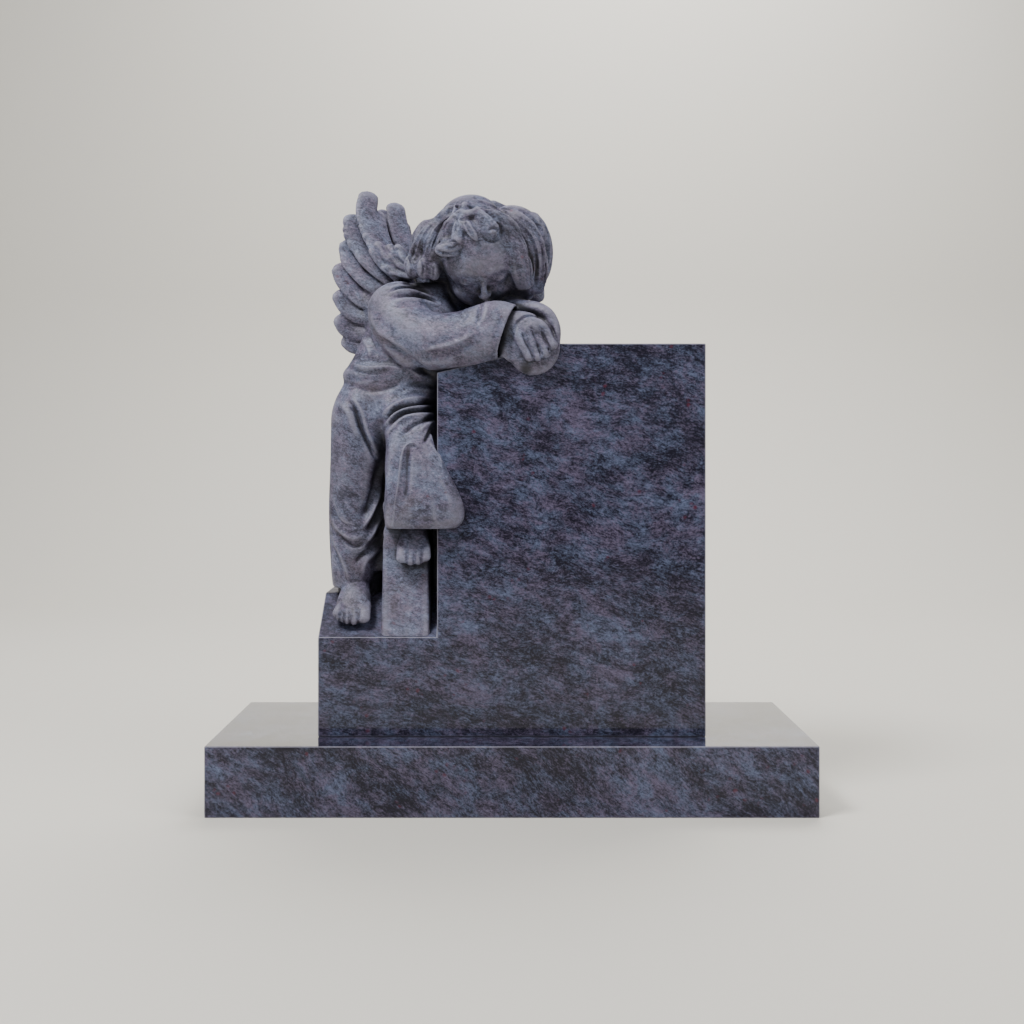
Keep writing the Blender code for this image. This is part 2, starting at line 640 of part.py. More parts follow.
def toe_grooves():
    """Strokes for carve: one short groove between each toe and the next."""
    strokes = []
    for foot in (STANDING_FOOT, RAISED_FOOT):
        toes = foot["toes"]
        for a, b in zip(toes[:-1], toes[1:]):
            top = ((a[0] + b[0]) / 2, foot["root"][1] - 10)
            strokes.append(([top, ((a[1] + b[1]) / 2, min(a[2], b[2]))], 2.4, -3.5))
    return strokes


def carve(points, normals, strokes):
    """Moves the skin out or in along each stroke, as seen from the front, fading to its ends."""
    moved = points.copy()
    towards_viewer = np.clip((normals @ FRONT + 0.25) / 0.45, 0, 1) * (points[:, 1] < CARVED_DEPTH)
    flat = points[:, [0, 2]]
    for course, width, height in strokes:
        line = catmull_rom(course, 16)
        a, b = line[:-1], line[1:] - line[:-1]
        from_a = flat[:, None] - a
        share = np.clip((from_a * b).sum(-1) / (b * b).sum(-1), 0, 1)
        distance = np.linalg.norm(from_a - share[..., None] * b, axis=-1)
        nearest = distance.argmin(1)
        rows = np.arange(len(points))
        along = (nearest + share[rows, nearest]) / len(a)
        fade = np.clip(np.minimum(along, 1 - along) / 0.2, 0, 1)
        amount = height * np.exp(-((distance[rows, nearest] / width) ** 2)) * (0.35 + 0.65 * fade)
        moved += normals * (amount * towards_viewer)[:, None]
    return moved


def evaluated_arrays(obj):
    """The points and faces that an object's modifiers give it."""
    graph = bpy.context.evaluated_depsgraph_get()
    evaluated = obj.evaluated_get(graph)
    mesh = evaluated.to_mesh()
    points = np.empty(len(mesh.vertices) * 3)
    normals = np.empty(len(mesh.vertices) * 3)
    mesh.vertices.foreach_get("co", points)
    mesh.vertices.foreach_get("normal", normals)
    faces = [tuple(p.vertices) for p in mesh.polygons]
    evaluated.to_mesh_clear()
    return points.reshape(-1, 3), normals.reshape(-1, 3), faces


def join_forms(forms):
    points, faces, start = [], [], 0
    for form_points, form_faces in forms:
        points.append(form_points)
        faces += [tuple(int(i) + start for i in face) for face in form_faces]
        start += len(form_points)
    return np.vstack(points), faces


def skinned(forms, voxel, rounds):
    """Joins overlapping forms under one closed skin, and rounds off the places where they meet."""
    points, faces = join_forms(forms)
    rough = add_object("rough", points, faces, HONED_GRANITE)
    skin = rough.modifiers.new("Skin", "REMESH")
    skin.mode = "VOXEL"
    skin.voxel_size = voxel
    smooth = rough.modifiers.new("Smooth", "SMOOTH")
    smooth.factor = 0.5
    smooth.iterations = rounds
    bpy.context.view_layer.update()
    points, normals, faces = evaluated_arrays(rough)
    bpy.data.objects.remove(rough)
    return points, normals, faces


def build_angel():
    cloth, _, cloth_faces = skinned(robe_forms(), CLOTH_VOXEL, CLOTH_ROUNDS)
    sleeve, _, sleeve_faces = skinned(sleeve_forms(), CLOTH_VOXEL, 2)
    forms = [(cloth, cloth_faces), (sleeve, sleeve_faces), *body_forms()]
    points, normals, faces = skinned(forms, SKIN_VOXEL, 2)
    corner = np.array([SLAB_LEFT, STONE_FRONT, STEP_TOP])
    strokes = [*FOLDS, *HAND_GAPS, *hair_grooves(), *toe_grooves()]
    angel = add_object("angel", corner + carve(points, normals, strokes) * UNIT, faces, HONED_GRANITE)
    angel.data.shade_smooth()
    thin = angel.modifiers.new("Thin", "DECIMATE")
    thin.ratio = ANGEL_TRIANGLES / sum(len(f) - 2 for f in faces)
    cutter = stone_block("joint cutter", JOINT)
    soften_arris(cutter)
    cut(angel, cutter)


clear_scene()
build_plinth()
headstone = stone_block("headstone", 0.0)
soften_arris(headstone)
build_angel()
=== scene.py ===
"""Finished looks of the angel headstone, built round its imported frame.

The plinth and the headstone keep their own solids and get polished granite. The angel is carved
again at a fine grain over the same forms as its solid, and stands in for it. Metres, +Z up, and the
front faces -Y.
"""

import logging
import math
from dataclasses import dataclass, field
from enum import Enum
from typing import Sequence, Union

import bmesh
import bpy
import numpy as np
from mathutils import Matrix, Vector


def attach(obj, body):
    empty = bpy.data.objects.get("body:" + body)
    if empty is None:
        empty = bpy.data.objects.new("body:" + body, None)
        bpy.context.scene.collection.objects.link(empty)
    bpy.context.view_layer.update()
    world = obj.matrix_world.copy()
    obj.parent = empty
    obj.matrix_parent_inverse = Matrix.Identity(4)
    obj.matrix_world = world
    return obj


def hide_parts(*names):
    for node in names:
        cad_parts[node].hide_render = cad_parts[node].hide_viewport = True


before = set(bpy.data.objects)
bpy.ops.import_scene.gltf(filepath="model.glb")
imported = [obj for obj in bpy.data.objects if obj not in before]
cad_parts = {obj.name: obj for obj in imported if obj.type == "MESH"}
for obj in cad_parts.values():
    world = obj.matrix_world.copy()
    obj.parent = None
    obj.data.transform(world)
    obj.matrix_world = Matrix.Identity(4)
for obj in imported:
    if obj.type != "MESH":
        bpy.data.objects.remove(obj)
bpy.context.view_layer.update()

log = logging.getLogger("angel headstone")

FRONT = np.array([0.0, -1.0, 0.0])
UP = np.array([0.0, 0.0, 1.0])
Row = Sequence[float]
Value = Union["Socket", float]

# The stone that the angel stands on and leans on, in metres
SLAB_LEFT = -0.108
STONE_FRONT = -0.100
STEP_TOP = 0.243
JOINT = 0.0003

# The figure is laid out in millimetres from the slab's left face, the stone's front and the step's front
# edge. In the same measure, these are the slab's rise beside it, the stone's depth, the step's width and
# the slope and rise of the footing.
UNIT = 0.001
CORNER = np.array([SLAB_LEFT, STONE_FRONT, STEP_TOP])
SLAB_RISE = 384.0
STONE_DEPTH = 200.0
STEP_WIDTH = 170.0
FOOTING_SLOPE = 0.73
FOOTING_RISE = 57.0

# Where the raised leg's cloth meets the standing leg's, from the slab's left face
LEG_SPLIT = -80.0

# The rings that round out each end of a swept form
CAP_RINGS = 5

# Where the wings start behind the front and above the step, where the hair starts above the step, and the
# shares of the measured shelter, which sets the painted shade, that are taken off on them
WING_DEPTH = 80.0
WING_HEIGHT = 400.0
HAIR_HEIGHT = 550.0
WING_CUT = 0.45
HAIR_CUT = 0.27

# The voxels of the cloth, the hair, the face and the whole skin, and the most faces that the angel keeps
CLOTH_GRAIN = 2.6
HAIR_GRAIN = 1.7
FACE_GRAIN = 1.5
SKIN_GRAIN = 1.55
ANGEL_TRIANGLES = 188_000


def smooth_line(points: Sequence[Row], count: int) -> np.ndarray:
    """A Catmull-Rom curve: between two points, the cubic through both with slopes set by their neighbours.

    Args:
        points: The places it passes through, with any extra columns carried along.
        count: How many rows to read, at even steps of the parameter.

    Returns:
        The rows, as an array.
    """
    p = np.asarray(points, float)
    padded = np.vstack([2 * p[0] - p[1], p, 2 * p[-1] - p[-2]])
    t = np.linspace(0, len(p) - 1, count)
    i = np.minimum(t.astype(int), len(p) - 2)
    f = (t - i)[:, None]
    a, b, c, d = (padded[i + k] for k in range(4))
    return 0.5 * (2 * b + (c - a) * f + (2 * a - 5 * b + 4 * c - d) * f**2 + (3 * b - a - 3 * c + d) * f**3)


def unit_rows(vectors: np.ndarray) -> np.ndarray:
    """Each row divided by its length."""
    return vectors / np.maximum(np.linalg.norm(vectors, axis=1, keepdims=True), 1e-9)


@dataclass(frozen=True)
class Skin:
    """A closed surface, as points with its four-sided and three-sided faces."""

    points: np.ndarray
    quads: np.ndarray
    tris: np.ndarray

    @staticmethod
    def tube(rings: np.ndarray) -> "Skin":
        """Closes a stack of equal rings with a pole at each end.

        Args:
            rings: Points by ring, place on the ring and axis.

        Returns:
            The closed skin.
        """
        count, sides = rings.shape[:2]
        points = np.vstack([rings.reshape(-1, 3), rings[0].mean(0), rings[-1].mean(0)])
        k = np.arange(sides)
        after = (k + 1) % sides
        starts = np.arange(count - 1)[:, None] * sides
        quads = np.stack([starts + k, starts + after, starts + sides + after, starts + sides + k], axis=-1)
        end = (count - 1) * sides
        first = np.stack([np.full(sides, count * sides), after, k], axis=-1)
        last = np.stack([np.full(sides, count * sides + 1), end + k, end + after], axis=-1)
        return Skin(points, quads.reshape(-1, 4), np.vstack([first, last]))

    @staticmethod
    def joined(skins: Sequence["Skin"]) -> "Skin":
        """Puts skins together as one, overlaps and all.

        Args:
            skins: The skins to join.

        Returns:
            One skin with the points and faces of all.
        """
        starts = np.cumsum([0, *[len(s.points) for s in skins[:-1]]])
        return Skin(
            np.vstack([s.points for s in skins]),
            np.vstack([s.quads + start for s, start in zip(skins, starts)]),
            np.vstack([s.tris + start for s, start in zip(skins, starts)]),
        )

    @staticmethod
    def fused(skins: Sequence["Skin"], grain: float) -> "Skin":
        """One new closed skin round overlapping ones, by a voxel remesh.

        Args:
            skins: The overlapping skins.
            grain: Size of a voxel.

        Returns:
            The new skin, all of whose faces have four sides.
        """
        obj = Skin.joined(skins).to_object("rough")
        remesh = obj.modifiers.new("Skin", "REMESH")
        remesh.mode = "VOXEL"
        remesh.voxel_size = grain
        mesh = applied(obj).data
        points = np.empty(len(mesh.vertices) * 3)
        mesh.vertices.foreach_get("co", points)
        corners = np.empty(len(mesh.loops), int)
        mesh.loops.foreach_get("vertex_index", corners)
        bpy.data.objects.remove(obj)
        return Skin(points.reshape(-1, 3), corners.reshape(-1, 4), np.empty((0, 3), int))

    def moved_to(self, points: np.ndarray) -> "Skin":
        """The same faces on other points."""
        return Skin(points, self.quads, self.tris)

    def placed(self, turn: np.ndarray, shift: np.ndarray) -> "Skin":
        """The skin turned by a matrix, then moved."""
        return self.moved_to(self.points @ turn.T + shift)

    def relaxed(self, rounds: int, share: Union[float, np.ndarray] = 1.0) -> "Skin":
        """Rounds off a fused skin: each point goes halfway to the mean of its neighbours, over and over.

        Args:
            rounds: How many times.
            share: How much of each move a point makes, one for all or one a point.

        Returns:
            The rounded skin.
        """
        here = self.quads.ravel()
        there = np.roll(self.quads, -1, axis=1).ravel()
        count = len(self.points)
        degree = np.maximum(np.bincount(here, minlength=count), 1)[:, None]
        weight = 0.5 * np.broadcast_to(np.asarray(share, float), (count,))[:, None]
        points = self.points
        for _ in range(rounds):
            total = np.column_stack([np.bincount(here, points[there, axis], count) for axis in range(3)])
            points = points + weight * (total / degree - points)
        return self.moved_to(points)

    def normals(self) -> np.ndarray:
        """Works out which way each point of a fused skin faces.

        A face's direction is the cross product of its diagonals, and a point adds up those of its faces.

        Returns:
            One outward row of length 1 for each point.
        """
        corner = self.points[self.quads]
        face = np.cross(corner[:, 2] - corner[:, 0], corner[:, 3] - corner[:, 1])
        spread = np.repeat(face, 4, axis=0)
        here = self.quads.ravel()
        count = len(self.points)
        return unit_rows(np.column_stack([np.bincount(here, spread[:, axis], count) for axis in range(3)]))

    def carved(self, strokes: Sequence["Stroke"]) -> "Skin":
        """Cuts strokes into a fused skin.

        Args:
            strokes: The strokes, each cut from the skin as it was before any of them.

        Returns:
            The carved skin.
        """
        points = self.points.copy()
        normals = self.normals()
        for stroke in strokes:
            stroke.cut(self.points, normals, points)
        return self.moved_to(points)

    def to_object(self, name: str) -> bpy.types.Object:
        """Puts the skin into a new mesh object.

        Args:
            name: The name of the object and its mesh.

        Returns:
            The object, linked to the scene.
        """
        mesh = bpy.data.meshes.new(name)
        loops = np.concatenate([self.quads.ravel(), self.tris.ravel()])
        totals = np.concatenate([np.full(len(self.quads), 4), np.full(len(self.tris), 3)])
        mesh.vertices.add(len(self.points))
        mesh.loops.add(len(loops))
        mesh.polygons.add(len(totals))
        mesh.vertices.foreach_set("co", self.points.ravel())
        mesh.loops.foreach_set("vertex_index", loops)
        mesh.polygons.foreach_set("loop_start", np.concatenate([[0], np.cumsum(totals)[:-1]]))
        mesh.update(calc_edges=True)
        mesh.validate()
        obj = bpy.data.objects.new(name, mesh)
        bpy.context.scene.collection.objects.link(obj)
        return obj


def applied(obj: bpy.types.Object) -> bpy.types.Object:
    """Bakes an object's modifiers into its mesh.

    Args:
        obj: The object to change.

    Returns:
        The same object, with no modifiers left.
    """
    bpy.context.view_layer.update()
    evaluated = obj.evaluated_get(bpy.context.evaluated_depsgraph_get())
    mesh = bpy.data.meshes.new_from_object(evaluated)
    obj.modifiers.clear()
    obj.data = mesh
    return obj


@dataclass(frozen=True)
class Strands:
    """Rounded ridges that run along a swept form, with sharp valleys between them."""

    count: int = 0
    depth: float = 0.0
    turns: float = 0.0


def swept(
    stations: Sequence[Row],
    facing: Union[np.ndarray, Row] = FRONT,
    sides: int = 28,
    steps: int = 40,
    ends: tuple[float, float] = (1.0, 1.0),
    strands: Strands = Strands(),
    cup: tuple[float, float] = (0.0, 0.0),
) -> Skin:
    """Carries an ellipse along a smooth path.

    At each step the ring is centre + across * width * cos(a) + out * depth * sin(a), where across is
    square to the path and to facing, and out is square to both. Strands take
    depth * (1 - |sin(count * a / 2 + turns * t)|) off the radius.

    Args:
        stations: Rows of x, y, z, half width and half depth.
        facing: The side that half depth is measured towards.
        sides: Points on a ring.
        steps: Rings along the path.
        ends: How far each end is rounded out, as a share of the smaller half size there.
        strands: Ridges along the form.
        cup: A hollow in the last end, as its depth and the wall left round it.

    Returns:
        The closed skin.
    """
    data = smooth_line(stations, steps)
    centre, half = data[:, :3], np.maximum(data[:, 3:5], 0.3)
    along = unit_rows(np.gradient(centre, axis=0))
    across = unit_rows(np.cross(along, np.asarray(facing, float)))
    out = np.cross(across, along)
    turns = np.linspace(0, math.pi / 2, CAP_RINGS + 1)[1:]
    caps = []
    for end, rounding, way in ((0, ends[0], -1), (-1, ends[1], 1)):
        reach = half[end].min() * rounding * way * np.sin(turns)[:, None]
        sizes = half[end] * np.maximum(np.cos(turns), 0.06)[:, None]
        same = [end] * CAP_RINGS
        caps.append([centre[end] + along[end] * reach, sizes, across[same], out[same]])
    head, tail = caps
    depth, wall = cup
    if depth > 0:
        back = np.array([0.3 * wall, 0.0, -depth, -depth])[:, None]
        inset = np.array([0.5 * wall, wall, wall, half[-1].min()])[:, None]
        tail = [
            centre[-1] + along[-1] * back,
            np.maximum(half[-1] - inset, 0.4),
            across[[-1] * len(back)],
            out[[-1] * len(back)],
        ]
    rows = zip([part[::-1] for part in head], (centre, half, across, out), tail)
    centre, half, across, out = (np.vstack(row) for row in rows)
    angle = np.linspace(0, 2 * math.pi, sides, endpoint=False)
    share = np.linspace(0, 1, len(centre))[:, None]
    ridge = np.abs(np.sin(strands.count * angle / 2 + strands.turns * math.pi * share))
    radius = 1 - strands.depth * (1 - ridge)
    wide = across[:, None] * (half[:, :1] * radius * np.cos(angle))[..., None]
    deep = out[:, None] * (half[:, 1:] * radius * np.sin(angle))[..., None]
    return Skin.tube(centre[:, None] + wide + deep)


def drape(
    stations: Sequence[Row],
    sides: int = 96,
    steps: int = 70,
    folds: tuple[int, float, float] = (0, 0.0, 0.0),
    square: float = 2.4,
    cup: tuple[float, float] = (0.0, 0.0),
) -> Skin:
    """Stacks level rings of cloth round a body, from the hem up.

    A ring's radius is (|cos a| ^ square + |sin a| ^ square) ^ (-1 / square), times
    1 + amount * cos(folds * a + 0.6), where amount runs evenly from the first ring to the last.

    Args:
        stations: Rows of x, y, z, half width and half depth.
        sides: Points on a ring.
        steps: Rings.
        folds: How many folds, and their depth at the first ring and at the last.
        square: 2 gives an ellipse, and more gives a boxier ring.
        cup: A hollow up into the hem, as its depth and the cloth's thickness.

    Returns:
        The closed skin.
    """
    data = smooth_line(stations, steps)
    amount = np.linspace(folds[1], folds[2], steps)
    depth, wall = cup
    if depth > 0:
        inner = np.repeat(data[:1], 3, axis=0)
        inner[:, 2] += np.array([depth, depth, 0.0])
        inner[:, 3:5] = np.maximum(inner[:, 3:5] - wall, 0.4) * np.array([[0.02], [1.0], [1.0]])
        data = np.vstack([inner, data])
        amount = np.concatenate([amount[[0, 0, 0]], amount])
    angle = np.linspace(0, 2 * math.pi, sides, endpoint=False)
    c, s = np.cos(angle), np.sin(angle)
    radius = (np.abs(c) ** square + np.abs(s) ** square) ** (-1 / square)
    radius = radius * (1 + amount[:, None] * np.cos(folds[0] * angle + 0.6))
    x = data[:, :1] + data[:, 3:4] * radius * c
    y = data[:, 1:2] + data[:, 4:5] * radius * s
    return Skin.tube(np.stack([x, y, np.repeat(data[:, 2:3], sides, axis=1)], axis=-1))


@dataclass(frozen=True)
class Egg:
    """An ellipsoid, turned by a matrix about its middle."""

    centre: Row
    radii: Row
    turn: np.ndarray = field(default_factory=lambda: np.eye(3))

    def skin(self) -> Skin:
        """Builds the surface centre + turn * (a cos u cos v, b cos u sin v, c sin u).

        Returns:
            The closed skin.
        """
        level = np.linspace(-math.pi / 2, math.pi / 2, 33)[:, None]
        angle = np.linspace(0, 2 * math.pi, 52, endpoint=False)[None, :]
        ring = np.maximum(np.cos(level), 0.01)
        shell = np.stack([ring * np.cos(angle), ring * np.sin(angle), np.sin(level) + 0 * angle], axis=-1)
        sized = shell * np.asarray(self.radii, float)
        return Skin.tube(np.asarray(self.centre, float) + sized @ self.turn.T)

    def front(self, x: np.ndarray, z: np.ndarray) -> np.ndarray:
        """The front face's y over places seen from the front: the nearer root of the egg's equation.

        Args:
            x: Places across.
            z: Heights.

        Returns:
            The y of each, or the middle's y beside the egg.
        """
        form = self.turn @ np.diag(1 / np.square(np.asarray(self.radii, float))) @ self.turn.T
        dx, dz = x - self.centre[0], z - self.centre[2]
        linear = form[0, 1] * dx + form[1, 2] * dz
        constant = form[0, 0] * dx**2 + 2 * form[0, 2] * dx * dz + form[2, 2] * dz**2 - 1
        inside = linear**2 - form[1, 1] * constant
        return self.centre[1] - (linear + np.sqrt(np.maximum(inside, 0))) / form[1, 1]


def ball(centre: Row, radii: Row, lean: float = 0.0) -> Skin:
    """An ellipsoid that leans in the picture plane by some degrees."""
    c, s = math.cos(math.radians(lean)), math.sin(math.radians(lean))
    return Egg(centre, radii, np.array([[c, 0, s], [0, 1, 0], [-s, 0, c]])).skin()


class Side(Enum):
    """The side that a stroke is cut from: its two columns, the column of depth and the sign of that."""

    FRONT = (0, 2, 1, 1.0)
    BACK = (0, 2, 1, -1.0)
    LEFT = (1, 2, 0, 1.0)
    RIGHT = (1, 2, 0, -1.0)


@dataclass(frozen=True)
class Stroke:
    """One chisel stroke: a ridge where height is above 0, and else a groove."""

    course: Sequence[Row]
    width: float
    height: float
    side: Side = Side.FRONT
    reach: float = 66.0

    def cut(self, points: np.ndarray, normals: np.ndarray, moved: np.ndarray) -> None:
        """Moves points along their normals by height * exp(-(distance / width) ^ 2), less at the ends.

        Args:
            points: The skin's points before any cut.
            normals: Their outward directions.
            moved: The points to change.
        """
        first, second, depth, sign = self.side.value
        line = smooth_line(self.course, 24)
        margin = 2.6 * self.width
        low, high = line.min(0) - margin, line.max(0) + margin
        u, v = points[:, first], points[:, second]
        inside = (u > low[0]) & (u < high[0]) & (v > low[1]) & (v < high[1])
        near = np.flatnonzero(inside & (sign * points[:, depth] < self.reach))
        turned_to = np.clip((-sign * normals[near, depth] + 0.25) / 0.45, 0, 1)
        near, turned_to = near[turned_to > 0], turned_to[turned_to > 0]
        if len(near) == 0:
            return
        a, b = line[:-1], line[1:] - line[:-1]
        from_a = np.column_stack([u[near], v[near]])[:, None] - a
        share = np.clip((from_a * b).sum(-1) / np.maximum((b * b).sum(-1), 1e-9), 0, 1)
        distance = np.linalg.norm(from_a - share[..., None] * b, axis=-1)
        nearest = distance.argmin(1)
        rows = np.arange(len(near))
        along = (nearest + share[rows, nearest]) / len(a)
        fade = 0.15 + 0.85 * np.clip(np.minimum(along, 1 - along) / 0.2, 0, 1)
        amount = self.height * np.exp(-((distance[rows, nearest] / self.width) ** 2)) * fade * turned_to
        moved[near] += normals[near] * amount[:, None]


def combed(
    first: Sequence[Row],
    last: Sequence[Row],
    count: int,
    width: float,
    height: float,
    side: Side = Side.FRONT,
    reach: float = 130.0,
) -> list[Stroke]:
    """Fine strokes spread from one course to another, with a slight sway that no two share.

    Args:
        first: The course of the first stroke.
        last: The course of the last one.
        count: How many.
        width: Their width.
        height: Their height.
        side: The side they are cut from.
        reach: How far from that side they reach, as the depth where they stop.

    Returns:
        The strokes.
    """
    start, end = smooth_line(first, 7), smooth_line(last, 7)
    place = np.linspace(0, 1, 7)[:, None]
    strokes = []
    for k, share in enumerate(np.linspace(0, 1, count)):
        sway = 1.1 * np.sin(2.4 * k + 5.0 * place) * np.array([1.0, 0.4])
        begin = 0.12 * (1 + math.sin(1.7 * k))
        course = smooth_line(start + (end - start) * share + sway, 12)[int(12 * begin) :]
        strokes.append(Stroke(course, width, height * (1 + 0.3 * math.sin(2.9 * k)), side, reach))
    return strokes


@dataclass
class Gown:
    """The gown: a column over the standing leg, a bell over the raised knee, and the leaning body."""

    standing: Sequence[Row] = (
        (-131, 93, 66, 31, 50),
        (-130, 92, 88, 34, 54),
        (-126, 92, 120, 40, 57),
        (-124, 90, 150, 43, 58),
        (-124, 86, 190, 43, 55),
        (-122, 80, 235, 43, 53),
        (-116, 78, 293, 47, 53),
        (-110, 78, 335, 50, 50),
        (-98, 80, 376, 42, 38),
        (-84, 82, 410, 24, 20),
    )
    raised: Sequence[Row] = (
        (-23, 15, 158, 52, 34),
        (-19, 14, 168, 58, 38),
        (-18, 14, 184, 59, 39),
        (-21, 15, 206, 56, 38),
        (-30, 18, 243, 47, 39),
        (-37, 26, 282, 39, 40),
        (-46, 48, 326, 38, 40),
        (-60, 78, 372, 34, 30),
    )
    body: Sequence[Row] = (
        (-84, 104, 90, 70, 44),
        (-84, 104, 200, 74, 40),
        (-80, 92, 290, 76, 44),
        (-74, 78, 340, 79, 48),
        (-67, 76, 368, 75, 46),
        (-62, 75, 385, 84, 51),
        (-58, 74, 397, 79, 47),
        (-52, 73, 414, 75, 46),
        (-45, 72, 442, 69, 45),
        (-38, 70, 474, 64, 43),
        (-34, 76, 502, 52, 38),
        (-16, 82, 522, 36, 28),
    )
    sleeve: Sequence[Row] = (
        (-62, 56, 482, 45, 40),
        (-55, 42, 460, 46, 42),
        (-33, 27, 437, 45, 41),
        (0, 17, 429, 42, 38),
        (36, 14, 431, 42, 37),
        (62, 12, 438, 43, 36),
        (84, 11, 446, 42, 34),
        (100, 8, 441, 44, 31),
    )

    def skins(self) -> list[Skin]:
        """Builds the cloth, rounded but for its hems, and the sleeve.

        Returns:
            The cloth as one fused skin, and the sleeve.
        """
        skirt = [
            drape(self.standing, folds=(7, 0.0, 0.03), cup=(9.0, 7.0)),
            drape(self.raised, folds=(6, 0.0, 0.03), square=3.0, cup=(11.0, 7.0)),
            drape(self.body, folds=(9, 0.03, 0.0)),
        ]
        cloth = Skin.fused(skirt, CLOTH_GRAIN)
        x, z = cloth.points[:, 0], cloth.points[:, 2]
        above_hem = np.where(x > LEG_SPLIT, z - self.raised[0][2], z - self.standing[0][2])
        loose = np.clip(np.abs(above_hem) / 26, 0.05, 1)
        sleeve = swept(self.sleeve, sides=72, steps=80, ends=(1.0, 0.1), cup=(14.0, 5.0))
        return [cloth.relaxed(18, loose), sleeve]

    def leg_folds(self) -> list[Stroke]:
        """Lists the folds of the standing leg, which hang in loops from the knee.

        Returns:
            The strokes, each as places of x and z, a width and a height.
        """
        edge = [(-79, 266), (-82, 248), (-85, 227), (-89, 203), (-96, 184), (-105, 166), (-113, 155)]
        return [
            Stroke([(-131, 342), (-121, 328), (-113, 304), (-100, 276), (-90, 256)], 2.8, -6.5),
            Stroke([(-150, 346), (-134, 328), (-124, 304), (-117, 284)], 5.5, 3.0),
            Stroke([(-126, 350), (-112, 328), (-103, 298), (-92, 270)], 4.0, 4.0),
            Stroke(edge, 2.4, 5.0),
            Stroke([(-86, 256), (-92, 220), (-101, 192), (-114, 172)], 6.5, -8.0),
            Stroke([(-78, 236), (-82, 206), (-89, 182), (-98, 163), (-106, 152)], 2.8, -7.5),
            Stroke([(-79, 196), (-84, 180), (-92, 161), (-100, 143), (-109, 132), (-121, 125)], 2.4, 4.5),
            Stroke([(-78, 172), (-86, 151), (-96, 136), (-107, 127)], 2.6, -5.0),
            Stroke([(-151, 153), (-138, 138), (-122, 130), (-108, 133), (-96, 146)], 2.6, -4.0),
            Stroke([(-159, 178), (-152, 159), (-140, 147), (-124, 141), (-110, 146)], 3.4, 3.2),
            Stroke([(-159, 196), (-150, 172), (-136, 161), (-120, 158)], 2.6, -2.0),
            Stroke([(-158, 152), (-150, 131), (-144, 117), (-137, 99), (-131, 80)], 3.0, 4.0),
            Stroke([(-159, 132), (-151, 112), (-144, 95), (-140, 80)], 2.6, -3.2),
            Stroke([(-158, 122), (-156, 100), (-155, 78)], 2.6, 2.6),
            Stroke([(-82, 143), (-101, 125), (-115, 115), (-123, 104)], 3.2, -6.0),
            Stroke([(-84, 132), (-98, 117), (-109, 104), (-113, 84)], 3.2, 3.5),
        ]

    def bell_folds(self) -> list[Stroke]:
        """Lists the folds over the raised knee and where the waist is pulled to the slab.

        Returns:
            The strokes.
        """
        knee = [(-24, 273), (-30, 280), (-39, 280), (-46, 273), (-50, 258)]
        ridge = [*knee, (-53, 228), (-57, 200), (-63, 161)]
        return [
            Stroke(ridge, 2.0, 4.2),
            Stroke([(-37, 274), (-41, 262), (-42, 240), (-43, 215), (-46, 190)], 4.2, -5.0),
            Stroke([(-60, 262), (-64, 230), (-70, 196)], 4.0, -2.0),
            Stroke([(-10, 283), (-5, 272), (3, 259), (8, 245)], 2.0, 3.4),
            Stroke([(2, 236), (13, 212), (22, 190)], 4.0, 1.8),
            Stroke([(-34, 210), (-30, 186), (-29, 162)], 5.0, -1.6),
            Stroke([(-10, 214), (-4, 190), (0, 162)], 6.0, 1.4),
            Stroke([(-56, 176), (-30, 170), (0, 172), (28, 178)], 3.0, -0.8),
            Stroke([(-8, 304), (-12, 293), (-18, 282)], 2.4, -7.0),
            Stroke([(-6, 302), (-1, 285), (4, 268)], 2.4, -8.0),
            Stroke([(-2, 342), (-44, 336), (-65, 327), (-78, 311)], 2.6, -6.5),
            Stroke([(-2, 349), (-42, 345), (-66, 335), (-84, 316)], 3.2, 4.0),
            Stroke([(-2, 330), (-37, 328), (-56, 321), (-78, 300)], 2.6, -6.5),
            Stroke([(-2, 336), (-40, 332), (-60, 324), (-78, 307)], 2.6, 3.5),
            Stroke([(-2, 323), (-34, 321), (-52, 314), (-74, 292)], 3.0, 4.0),
            Stroke([(-3, 319), (-20, 314), (-36, 306), (-50, 292)], 2.6, -5.5),
            Stroke([(-4, 312), (-16, 307), (-26, 296)], 2.6, 3.0),
            Stroke([(-4, 357), (-30, 360), (-56, 352)], 3.5, 2.4),
            Stroke([(-4, 364), (-26, 370), (-46, 366)], 3.0, -2.4),
        ]

    def waist_folds(self) -> list[Stroke]:
        """Lists the folds of the loose waist and the deep crease under the arm.

        Returns:
            The strokes.
        """
        return [
            Stroke([(-84, 434), (-67, 420), (-52, 410), (-36, 399), (-19, 386), (-4, 380)], 4.5, -7.0),
            Stroke([(-114, 440), (-103, 420), (-99, 406)], 3.0, 3.0),
            Stroke([(-106, 446), (-94, 424), (-88, 408)], 3.4, -2.6),
            Stroke([(-130, 400), (-105, 392), (-72, 393), (-44, 388)], 3.6, 3.4),
            Stroke([(-136, 394), (-110, 384), (-76, 383)], 2.8, -2.4),
            Stroke([(-142, 378), (-118, 370), (-88, 372)], 4.0, 2.0),
            Stroke([(-126, 366), (-104, 358), (-78, 360), (-52, 370)], 3.4, -3.0),
            Stroke([(-70, 404), (-46, 394), (-22, 374)], 3.4, 2.6),
        ]

